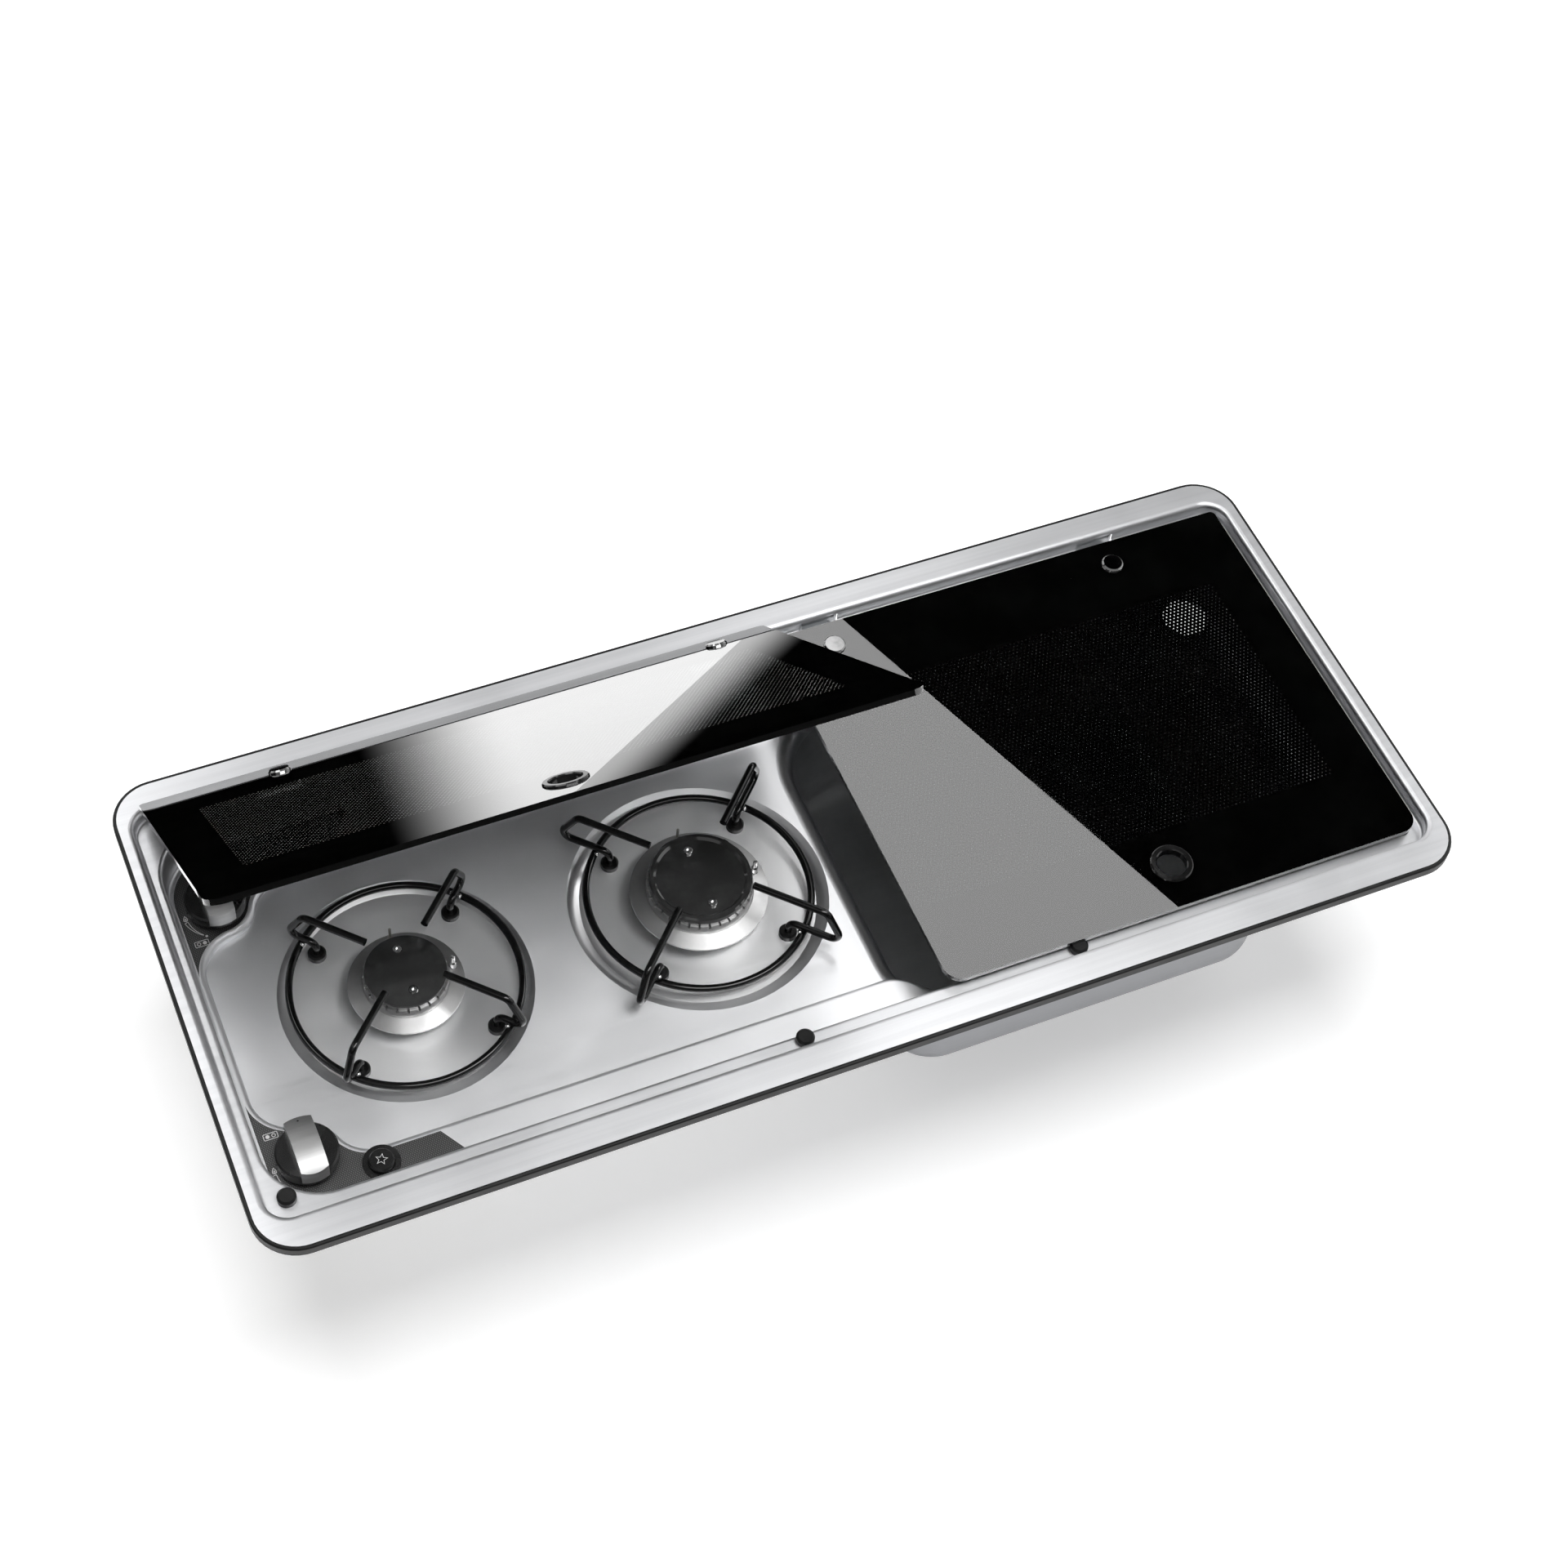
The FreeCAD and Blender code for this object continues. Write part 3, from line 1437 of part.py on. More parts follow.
def make_arm(label, x, cap_y, under):
    """A strap that runs from its eye down, forward under the ledge and up to the glass."""
    s = size
    thick = s.strap_thick
    wall = s.eye_radius
    low = s.hinge_drop - s.strap_low - thick / 2
    rise = -s.strap_rise - thick / 2
    end = cap_y - s.strap_end
    outline = [
        (thick - wall, 0), (thick - wall, low), (rise, low), (rise, under - thick), (end, under - thick),
        (end, under), (rise + thick, under), (rise + thick, low + thick), (-wall, low + thick), (-wall, 0),
    ]
    shifted = [(as_size(y - end), as_size(z - low)) for y, z in outline]
    strap = prism(f"{label}_strap", "YZ_Plane", shifted, s.strap_width, x, end, low)
    half = s.strap_width / 2
    eye = rod_along(f"{label}_eye", (1, 0, 0), s.eye_radius, s.strap_width, x - half, 0, 0)
    bore = rod_along(
        f"{label}_bore", (1, 0, 0), s.pin_radius + s.pin_play, 2 * (half + PAST), x - half - PAST, 0, 0
    )
    joined = fuse(f"{label}_blank", strap, eye)
    doc.recompute()
    corners = [(rise, low), (rise + thick, under)]
    bends = []
    for number, edge in enumerate(joined.Shape.Edges, start=1):
        middle = edge.CenterOfMass
        for y, z in corners:
            if abs(middle.y - float(y)) < 1e-3 and abs(middle.z - float(z)) < 1e-3:
                bends.append(number)
    return cut(label, rounded_edges(f"{label}_bent", joined, [(bends, s.strap_bend)]), bore)


def build():
    s = size
    make_pressing()
    make_bowl()
    make_seal()
    make_bumpers()
    make_panels()
    details = ((s.small_screw_pitch * hob_scale, SMALL_PORTS), (s.large_screw_pitch * hob_scale, LARGE_PORTS))
    for (name, x, _, body, skirt), detail in zip(burners(), details):
        make_burner(name, x, body, skirt, *detail)
    reaches = (
        (s.small_elbow * hob_scale, s.small_finger * hob_scale),
        (s.large_elbow * hob_scale, s.large_finger * hob_scale),
    )
    for (name, x, _, _, _), (elbow, finger) in zip(burners(), reaches):
        make_support(name, x, elbow, finger)
    make_taps()
    make_pipes()
    make_igniter()
    make_waste()
    make_hinges()
    (_, hob_hinges), (_, sink_hinges) = hinge_places()
    hob_finger = (hob_lid_west + hob_lid_east) / 2
    sink_finger = sink_lid_east - s.sink_finger_inset
    make_lid("hob", hob_lid_west, hob_lid_east, hob_hinges, hob_finger, s.hob_lid_angle)
    make_lid("sink", sink_lid_west, sink_lid_east, sink_hinges, sink_finger, as_size(0))
    doc.recompute()


BURNER_NODES = ("cup", "head", "cap", "screws", "electrode", "thermocouple", "jet")
LID_NODES = (
    "lid_glass", "lid_hinge_arms", "lid_hinge_caps", "lid_finger_ring", "hinge_brackets", "hinge_pins",
)
SIDE_NODES = ("gas_tap", "tap_plunger", "tap_spindle", "knob", "knob_grip", "gas_tube", "control_panel")
NODES = [
    "top_pressing", "sink_bowl", "edge_seal", "lid_bumpers", "gas_rail", "igniter_housing", "igniter_button",
    "waste_strainer", "waste_gasket", "waste_nut", "waste_elbow",
]
for burner in ("small", "large"):
    NODES += [f"{burner}_burner_{node}" for node in BURNER_NODES]
    NODES += [f"{burner}_pan_support", f"{burner}_support_bushes"]
NODES += [f"{side}_{node}" for side in ("front", "rear") for node in SIDE_NODES]
NODES += [f"{lid}_{node}" for lid in ("hob", "sink") for node in LID_NODES]

build()
faults = [item.Name for item in doc.Objects if {"Invalid", "Error"} & set(item.State)]
pieces = {node: doc.getObjectsByLabel(node)[0].Shape for node in NODES}
faults += [node for node, shape in pieces.items() if shape.isNull() or not shape.isValid()]
if faults:
    raise RuntimeError(f"these did not build: {faults}")
os.makedirs("parts", exist_ok=True)
for node, shape in pieces.items():
    shape.exportStep(f"parts/{node}.step")
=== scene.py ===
import json
import math

import bpy
import numpy as np
from mathutils import Matrix, Vector


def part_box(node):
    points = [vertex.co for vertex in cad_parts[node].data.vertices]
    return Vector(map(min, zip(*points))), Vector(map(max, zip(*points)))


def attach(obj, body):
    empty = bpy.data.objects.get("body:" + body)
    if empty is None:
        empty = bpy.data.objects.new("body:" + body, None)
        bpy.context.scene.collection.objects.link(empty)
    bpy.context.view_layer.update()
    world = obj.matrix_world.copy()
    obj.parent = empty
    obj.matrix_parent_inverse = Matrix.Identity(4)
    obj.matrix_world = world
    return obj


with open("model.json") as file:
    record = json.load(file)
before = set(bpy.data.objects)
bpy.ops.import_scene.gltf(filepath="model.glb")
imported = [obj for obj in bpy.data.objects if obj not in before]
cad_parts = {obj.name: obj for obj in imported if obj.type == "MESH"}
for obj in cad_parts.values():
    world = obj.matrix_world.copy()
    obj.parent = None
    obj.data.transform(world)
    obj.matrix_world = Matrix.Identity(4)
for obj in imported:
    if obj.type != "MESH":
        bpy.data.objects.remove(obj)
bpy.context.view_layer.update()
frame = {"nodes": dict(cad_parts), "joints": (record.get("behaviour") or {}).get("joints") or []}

# Lengths are in metres and angles in radians. The hob lid rests open by the angle that its hinge can shut.
FLOOR_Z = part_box("waste_elbow")[0][2]
HOB_HINGE = next(joint for joint in frame["joints"] if joint["name"] == "hob_lid_hinge")
HINGE = Vector(HOB_HINGE["pos_m"])
LID_ANGLE = -math.radians(HOB_HINGE["range_deg"][0])
DISH_RADIUS = {"small": 0.084, "large": 0.089}
WHITE = (1.0, 1.0, 1.0, 1.0)


# Shader nodes

FLOAT, VECTOR = "NodeSocketFloat", "NodeSocketVector"
IN_PLAN = (1.0, 1.0, 0.0)
# Where a Mix node has its two inputs and its output for each kind
MIX_SOCKETS = {"VECTOR": (4, 5, 1), "RGBA": (6, 7, 2)}


def feed(tree, socket, value):
    """Links an input to another node's output, or sets it to a plain value."""
    if isinstance(value, bpy.types.NodeSocket):
        tree.links.new(value, socket)
    else:
        socket.default_value = value


def put(tree, kind, inputs, **settings):
    """Adds one shader node, sets its options and fills its inputs."""
    made = tree.nodes.new(kind)
    for name, value in settings.items():
        setattr(made, name, value)
    for key, value in inputs.items():
        feed(tree, made.inputs[key], value)
    return made


def maths(tree, operation, first, second):
    """One Math node's result."""
    return put(tree, "ShaderNodeMath", {0: first, 1: second}, operation=operation).outputs[0]


def vector_maths(tree, operation, first, second=(0.0, 0.0, 0.0)):
    """One Vector Math node's result: a value for a length or a dot product, and otherwise a vector."""
    made = put(tree, "ShaderNodeVectorMath", {0: first, 1: second}, operation=operation)
    return made.outputs["Value" if operation in ("LENGTH", "DOT_PRODUCT") else "Vector"]


def ramp(tree, value, low, high, to_low=0.0, to_high=1.0, kind="SMOOTHSTEP"):
    """Value carried from low..high to to_low..to_high, held at the ends."""
    ends = {"Value": value, "From Min": low, "From Max": high, "To Min": to_low, "To Max": to_high}
    return put(tree, "ShaderNodeMapRange", ends, interpolation_type=kind).outputs["Result"]


def blend(tree, factor, first, second, kind="RGBA"):
    """A colour or vector between first and second, through a Mix node's sockets for that kind."""
    start, end, result = MIX_SOCKETS[kind]
    return put(tree, "ShaderNodeMix", {0: factor, start: first, end: second}, data_type=kind).outputs[result]


def split_axes(tree, where):
    """The X, Y and Z of a place."""
    return put(tree, "ShaderNodeSeparateXYZ", {0: where}).outputs


def new_group(name, inputs, outputs):
    """An empty shader node group with named inputs {name: (kind, default)} and outputs {name: kind}."""
    tree = bpy.data.node_groups.new(name, "ShaderNodeTree")
    for label, (kind, default) in inputs.items():
        socket = tree.interface.new_socket(label, in_out="INPUT", socket_type=kind)
        if default is not None:
            socket.default_value = default
    for label, kind in outputs.items():
        tree.interface.new_socket(label, in_out="OUTPUT", socket_type=kind)
    return tree, tree.nodes.new("NodeGroupInput").outputs, tree.nodes.new("NodeGroupOutput").inputs


def place(tree, group, **values):
    """The outputs of a group placed in a material with its own values."""
    made = tree.nodes.new("ShaderNodeGroup")
    made.node_tree = group
    for label, value in values.items():
        feed(tree, made.inputs[label.replace("_", " ")], value)
    return made.outputs


# Effects that several finishes share

def make_brushing():
    """Long fine lines: noise squeezed across the brushing and stretched along X, with a broader band tone."""
    tree, given, out = new_group("brushing", {"Vector": (VECTOR, None), "Fineness": (FLOAT, 1.0)},
                                 {"Lines": FLOAT, "Bands": FLOAT})
    for label, stretch, detail, roughness in (("Lines", (9.0, 1500.0, 1500.0), 3.0, 0.65),
                                              ("Bands", (2.2, 130.0, 130.0), 4.0, 0.6)):
        where = put(tree, "ShaderNodeMapping", {"Vector": given["Vector"], "Scale": stretch}).outputs[0]
        noise = put(tree, "ShaderNodeTexNoise", {"Vector": where, "Scale": given["Fineness"],
                                                 "Detail": detail, "Roughness": roughness})
        tree.links.new(noise.outputs[0], out[label])
    return tree


def make_handling():
    """Clouded marks of wiping and handling: noise of one size with finer detail, ramped to 0..1."""
    tree, given, out = new_group("handling", {"Vector": (VECTOR, None), "Size": (FLOAT, 14.0)},
                                 {"Marks": FLOAT})
    cloud = put(tree, "ShaderNodeTexNoise", {"Vector": given["Vector"], "Scale": given["Size"],
                                             "Detail": 5.0, "Roughness": 0.6}).outputs[0]
    tree.links.new(ramp(tree, cloud, 0.38, 0.72), out["Marks"])
    return tree


def make_grain():
    """Fine moulded or cast grain: three fifths cell distance and two fifths noise, added to one height."""
    tree, given, out = new_group("grain", {"Vector": (VECTOR, None), "Size": (FLOAT, 900.0)},
                                 {"Height": FLOAT})
    spot = {"Vector": given["Vector"], "Scale": given["Size"]}
    cells = put(tree, "ShaderNodeTexVoronoi", spot).outputs["Distance"]
    noise = put(tree, "ShaderNodeTexNoise", {**spot, "Detail": 2.0}).outputs[0]
    height = maths(tree, "ADD", maths(tree, "MULTIPLY", cells, 0.6), maths(tree, "MULTIPLY", noise, 0.4))
    tree.links.new(height, out["Height"])
    return tree


def make_dot_lattice():
    """Staggered round dots on the XY plane: the distance to the nearest point of two shifted lattices, whose
    cells are taller than wide by the root of three, against the radius; 1 inside a dot and 0 outside."""
    tree, given, out = new_group("dot_lattice", {"Vector": (VECTOR, None), "Pitch": (FLOAT, 0.0033),
                                                 "Radius": (FLOAT, 0.0007)}, {"Dots": FLOAT})
    tall = maths(tree, "MULTIPLY", given["Pitch"], math.sqrt(3.0))
    pitch = put(tree, "ShaderNodeCombineXYZ", {0: given["Pitch"], 1: tall, 2: 1.0}).outputs[0]
    cells = vector_maths(tree, "DIVIDE", vector_maths(tree, "MULTIPLY", given["Vector"], IN_PLAN), pitch)
    half_cell = (0.5, 0.5, 0.0)
    away = []
    for shift in ((0.0, 0.0, 0.0), half_cell):
        part = vector_maths(tree, "FRACTION", vector_maths(tree, "ADD", cells, shift))
        centred = vector_maths(tree, "SUBTRACT", part, half_cell)
        away.append(vector_maths(tree, "LENGTH", vector_maths(tree, "MULTIPLY", centred, pitch)))
    nearest = maths(tree, "MINIMUM", *away)
    rim = maths(tree, "MULTIPLY", given["Radius"], 1.15)
    core = maths(tree, "MULTIPLY", given["Radius"], 0.85)
    tree.links.new(ramp(tree, nearest, core, rim, 1.0, 0.0, "LINEAR"), out["Dots"])
    return tree


BRUSHING = make_brushing()
HANDLING = make_handling()
GRAIN = make_grain()
DOT_LATTICE = make_dot_lattice()


# Finishes

DISH_EDGE = (-0.004, 0.006)
TURNED_PULL = 0.35
# Depths between which the pressing's steel turns paler towards the bottom: painted light in the recess.
RECESS_LIGHT_DEPTH = (-0.036, -0.010)
FOIL_PITCH, FOIL_DOT, FOIL_RELIEF = 0.0016, 0.00045, 0.00005
PRINT_PITCH, PRINT_DOT = 0.0033, 0.00052
FIELD_FRONT, FIELD_REAR = -0.092, 0.098


def grey(level, warm=0.0):
    """A near-neutral colour."""
    return (level * (1.0 + warm), level, level * (1.0 - warm), 1.0)


def new_finish(name, **constants):
    """A material with its Principled shader's constant sockets set, and its Object coordinates."""
    finish = bpy.data.materials.new(name)
    finish.use_nodes = True
    tree = finish.node_tree
    shader = tree.nodes["Principled BSDF"]
    for label, value in constants.items():
        shader.inputs[label.replace("_", " ")].default_value = value
    where = tree.nodes.new("ShaderNodeTexCoord").outputs["Object"]
    return finish, tree, shader, where


def bump(tree, shader, height, distance):
    """Feeds a height to the shader's normal through a Bump node."""
    made = put(tree, "ShaderNodeBump", {"Height": height, "Distance": distance, "Strength": 1.0})
    tree.links.new(made.outputs[0], shader.inputs["Normal"])


def turned_share(tree, where, burner):
    """How far a place lies in a burner's dish, 1 inside and 0 outside, and its direction from the centre."""
    low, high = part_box(f"{burner}_burner_cap")
    flat = vector_maths(tree, "MULTIPLY", vector_maths(tree, "SUBTRACT", where, (low + high) / 2), IN_PLAN)
    length = vector_maths(tree, "LENGTH", flat)
    inner, outer = (DISH_RADIUS[burner] + aside for aside in DISH_EDGE)
    return ramp(tree, length, inner, outer, 1.0, 0.0), vector_maths(tree, "NORMALIZE", flat)


def outside_of(tree, where, node):
    """1 on the outer side of a hollow node and 0 inside: whether it faces away from its box's middle."""
    low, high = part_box(node)
    facing = tree.nodes.new("ShaderNodeTexCoord").outputs["Normal"]
    away = vector_maths(tree, "SUBTRACT", where, (low + high) / 2)
    return maths(tree, "GREATER_THAN", vector_maths(tree, "DOT_PRODUCT", away, facing), 0.0)


def highlight_run(tree, where):
    """The way highlights are stretched out on the pressing: along Y on the brushed sheet, and turned part of
    the way outwards from the burners in the dishes."""
    run = put(tree, "ShaderNodeCombineXYZ", {"Y": 1.0}).outputs[0]
    for burner in DISH_RADIUS:
        share, outward = turned_share(tree, where, burner)
        run = blend(tree, maths(tree, "MULTIPLY", share, TURNED_PULL), run, outward, "VECTOR")
    return run


def brushed_metal(name, pale, dark, smooth, dull, depth, fineness=1.0, marks=0.06, spread=0.0, recess_light_tone=None,
                  dish_highlight_tone=None, outside_shade_tone=None):
    """Brushed metal: band tone between two colours, roughness from the lines and handling marks, line bump.
    Spread draws highlights out across the brushing. The argument drawn is a paler colour painted on the steel
    deeper in the recess, painted light; dish_highlight_tone is a paler colour painted in the dishes below it,
    a painted highlight; and outside_shade_tone is a darker colour painted on the bowl's outside, painted
    shade."""
    finish, tree, shader, where = new_finish(name, Metallic=1.0, Anisotropic=spread)
    if spread:
        tree.links.new(highlight_run(tree, where), shader.inputs["Tangent"])
    brush = place(tree, BRUSHING, Vector=where, Fineness=fineness)
    wiped = place(tree, HANDLING, Vector=where, Size=11.0)["Marks"]
    tone = blend(tree, ramp(tree, brush["Bands"], 0.25, 0.75), dark, pale)
    # Painted light: paler colour deeper in the recess.
    if recess_light_tone:
        tone = blend(tree, ramp(tree, split_axes(tree, where)["Z"], *RECESS_LIGHT_DEPTH), recess_light_tone, tone)
    # Painted highlight: paler colour in the burner dishes.
    if dish_highlight_tone:
        dishes = maths(tree, "ADD", *(turned_share(tree, where, burner)[0] for burner in DISH_RADIUS))
        tone = blend(tree, dishes, tone, dish_highlight_tone)
    # Painted shade: darker colour on the bowl's outside.
    if outside_shade_tone:
        tone = blend(tree, outside_of(tree, where, "sink_bowl"), tone, outside_shade_tone)
    tree.links.new(tone, shader.inputs["Base Color"])
    rough = ramp(tree, brush["Lines"], 0.2, 0.8, smooth, dull)
    worn = maths(tree, "ADD", rough, maths(tree, "MULTIPLY", wiped, marks))
    tree.links.new(worn, shader.inputs["Roughness"])
    bump(tree, shader, brush["Lines"], depth)
    return finish


def cast_metal(name, pale, dark, smooth, dull, depth, size=1100.0):
    """Cast or plated metal: clouded colour and roughness over a fine grain."""
    finish, tree, shader, where = new_finish(name, Metallic=1.0)
    grain = place(tree, GRAIN, Vector=where, Size=size)["Height"]
    wiped = place(tree, HANDLING, Vector=where, Size=38.0)["Marks"]
    tree.links.new(blend(tree, wiped, pale, dark), shader.inputs["Base Color"])
    worn = maths(tree, "ADD", wiped, maths(tree, "MULTIPLY", grain, 0.3))
    tree.links.new(ramp(tree, worn, 0.0, 1.2, smooth, dull), shader.inputs["Roughness"])
    bump(tree, shader, grain, depth)
    return finish


def moulded(name, colour, worn, smooth, dull, depth, size, **constants):
    """Moulded plastic, rubber or enamel: fine grain, and roughness and colour shifted by handling marks."""
    finish, tree, shader, where = new_finish(name, **constants)
    grain = place(tree, GRAIN, Vector=where, Size=size)["Height"]
    wiped = place(tree, HANDLING, Vector=where, Size=30.0)["Marks"]
    tree.links.new(blend(tree, wiped, colour, worn), shader.inputs["Base Color"])
    tree.links.new(ramp(tree, wiped, 0.0, 1.0, smooth, dull), shader.inputs["Roughness"])
    bump(tree, shader, grain, depth)
    return finish


def make_lid_glass():
    """Clear toughened glass with the faint clouding of a wiped pane."""
    finish, tree, shader, where = new_finish("lid_glass", Metallic=0.0, Transmission_Weight=1.0, IOR=1.52,
                                             Coat_Weight=1.0, Coat_IOR=1.7, Coat_Roughness=0.0)
    wiped = place(tree, HANDLING, Vector=where, Size=7.0)["Marks"]
    clear, clouded = (0.93, 0.96, 0.95, 1.0), (0.90, 0.94, 0.93, 1.0)
    tree.links.new(blend(tree, wiped, clear, clouded), shader.inputs["Base Color"])
    tree.links.new(ramp(tree, wiped, 0.0, 1.0, 0.0, 0.02), shader.inputs["Roughness"])
    return finish


def make_panel_foil():
    """Dark foil with a fine staggered dot weave, paler dots on a darker ground."""
    finish, tree, shader, where = new_finish("panel_foil", Metallic=0.0)
    dots = place(tree, DOT_LATTICE, Vector=where, Pitch=FOIL_PITCH, Radius=FOIL_DOT)["Dots"]
    wiped = place(tree, HANDLING, Vector=where, Size=25.0)["Marks"]
    tree.links.new(blend(tree, dots, grey(0.028), grey(0.10)), shader.inputs["Base Color"])
    tree.links.new(ramp(tree, wiped, 0.0, 1.0, 0.36, 0.46), shader.inputs["Roughness"])
    bump(tree, shader, dots, FOIL_RELIEF)
    return finish


def within(tree, value, low, high):
    """1 between low and high and 0 elsewhere."""
    above = maths(tree, "GREATER_THAN", value, low)
    return maths(tree, "MULTIPLY", above, maths(tree, "LESS_THAN", value, high))


def make_lid_print(name, angle, left, right):
    """Black print with a field of clear dots: the place is turned back to the shut lid about the hinge, and
    the print is open where it is inside both a dot and the field's rectangle."""
    finish, tree, shader, where = new_finish(name, Metallic=0.0, Specular_IOR_Level=0.0)
    turn = Matrix.Rotation(angle, 3, "X")
    shut = put(tree, "ShaderNodeMapping", {"Vector": where, "Location": HINGE - turn @ HINGE,
                                           "Rotation": (angle, 0, 0)}).outputs[0]
    dots = place(tree, DOT_LATTICE, Vector=shut, Pitch=PRINT_PITCH, Radius=PRINT_DOT)["Dots"]
    wiped = place(tree, HANDLING, Vector=where, Size=20.0)["Marks"]
    axes = split_axes(tree, shut)
    field = maths(tree, "MULTIPLY", within(tree, axes["X"], left, right),
                  within(tree, axes["Y"], FIELD_FRONT, FIELD_REAR))
    tree.links.new(maths(tree, "SUBTRACT", 1.0, maths(tree, "MULTIPLY", dots, field)), shader.inputs["Alpha"])
    tree.links.new(blend(tree, wiped, grey(0.003), grey(0.006)), shader.inputs["Base Color"])
    tree.links.new(ramp(tree, wiped, 0.0, 1.0, 0.5, 0.6), shader.inputs["Roughness"])
    return finish


FINISHES = {
    # The satin steel's paler colour deeper in the recess and in the burner dishes is painted light.
    "steel": brushed_metal(
        "satin_steel", pale=(0.75, 0.755, 0.77, 1), dark=(0.66, 0.665, 0.68, 1), smooth=0.34, dull=0.42,
        depth=0.000007, spread=0.7, recess_light_tone=(0.90, 0.905, 0.92, 1), dish_highlight_tone=(0.98, 0.983, 0.99, 1)),
    "bright_steel": brushed_metal(
        "bright_steel", pale=grey(0.78), dark=grey(0.72), smooth=0.10, dull=0.18, depth=0.000004,
        fineness=2.0),
    "zinc_steel": cast_metal(
        "zinc_plate", pale=(0.62, 0.63, 0.64, 1), dark=(0.52, 0.53, 0.54, 1), smooth=0.28, dull=0.44,
        depth=0.00002),
    "brushed_trim": brushed_metal(
        "silver_trim", pale=grey(0.54), dark=grey(0.46), smooth=0.36, dull=0.48, depth=0.00001, fineness=2.0,
        marks=0.03),
    "cast_aluminium": cast_metal(
        "satin_aluminium", pale=grey(0.64), dark=grey(0.56), smooth=0.30, dull=0.42, depth=0.00003,
        size=1400.0),
    "brass": cast_metal(
        "brass", pale=(0.72, 0.55, 0.27, 1), dark=(0.60, 0.44, 0.20, 1), smooth=0.22, dull=0.38,
        depth=0.00002),
    "black_enamel": moulded(
        "black_enamel", colour=grey(0.003), worn=grey(0.006), smooth=0.05, dull=0.10, depth=0.000003,
        size=260.0),
    "seal_rubber": moulded(
        "seal_rubber", colour=grey(0.006), worn=grey(0.012), smooth=0.34, dull=0.46, depth=0.00003,
        size=1200.0, Specular_IOR_Level=0.2),
    "bush_rubber": moulded(
        "bush_rubber", colour=grey(0.005), worn=grey(0.010), smooth=0.30, dull=0.42, depth=0.00003,
        size=1200.0, Specular_IOR_Level=0.35),
    "black_plastic": moulded(
        "black_plastic", colour=grey(0.010), worn=grey(0.016), smooth=0.22, dull=0.32, depth=0.00002,
        size=1000.0),
    "white_plastic": moulded(
        "white_plastic", colour=grey(0.62, 0.01), worn=grey(0.56, 0.015), smooth=0.36, dull=0.46,
        depth=0.00003, size=800.0),
    "panel_foil": make_panel_foil(),
    "ceramic": moulded(
        "ceramic", colour=(0.46, 0.45, 0.43, 1), worn=(0.36, 0.34, 0.31, 1), smooth=0.28, dull=0.45,
        depth=0.00002, size=900.0),
    "dark_glass": make_lid_glass(),
}

# The bowl's darker outside tone is painted shade.
DRAWN_BOWL = brushed_metal(
    "drawn_bowl", pale=(0.78, 0.785, 0.80, 1), dark=(0.74, 0.745, 0.76, 1), smooth=0.34, dull=0.42,
    depth=0.000004, fineness=0.6, outside_shade_tone=(0.34, 0.345, 0.36, 1))
# Chrome for the hinge caps painted dark: a painted reflection of dark surroundings.
CHROME_PAINTED_DARK = cast_metal(
    "chrome_painted_dark", pale=grey(0.30), dark=grey(0.22), smooth=0.05, dull=0.10, depth=0.000004)
GLOSSY_ENAMEL = moulded(
    "glossy_enamel", colour=grey(0.050), worn=grey(0.075), smooth=0.10, dull=0.16, depth=0.000004, size=260.0,
    Coat_Weight=1.0, Coat_Roughness=0.03)
RING_PLASTIC = moulded(
    "ring_plastic", colour=grey(0.006), worn=grey(0.010), smooth=0.06, dull=0.12, depth=0.000004, size=1000.0)
TURNED_SKIRT = cast_metal(
    "turned_skirt", pale=grey(0.54), dark=grey(0.46), smooth=0.36, dull=0.46, depth=0.00003, size=1400.0)
MARK_INK = moulded(
    "mark_ink", colour=grey(0.66), worn=grey(0.58), smooth=0.42, dull=0.52, depth=0.000004, size=1500.0)

OWN_FINISHES = {
    "sink_bowl": DRAWN_BOWL,
    "hob_lid_hinge_caps": CHROME_PAINTED_DARK,
    "sink_lid_hinge_caps": CHROME_PAINTED_DARK,
    "hob_lid_finger_ring": RING_PLASTIC,
    "sink_lid_finger_ring": RING_PLASTIC,
    "small_burner_cap": GLOSSY_ENAMEL,
    "large_burner_cap": GLOSSY_ENAMEL,
    "small_burner_cup": TURNED_SKIRT,
    "large_burner_cup": TURNED_SKIRT,
}

for name, node in frame["nodes"].items():
    for slot in node.material_slots:
        slot.material = OWN_FINISHES.get(name, FINISHES[slot.material.name])


# Meshes from arrays

def add_object(name, data):
    """A new object at the origin, put into the scene."""
    made = bpy.data.objects.new(name, data)
    bpy.context.scene.collection.objects.link(made)
    return made


def surface(name, points, faces, body, finish, smooth=True):
    """One mesh piece from an array of points and a list of arrays of faces, riding on a body."""
    mesh = bpy.data.meshes.new(name)
    mesh.from_pydata(points.tolist(), [], sum((part.tolist() for part in faces), []))
    mesh.polygons.foreach_set("use_smooth", np.full(len(mesh.polygons), smooth))
    mesh.materials.append(finish)
    piece = add_object(name, mesh)
    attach(piece, body)


# Print on the lids

PRINT_LIFT = 0.00005
STRAIGHT_DOWN = -0.99


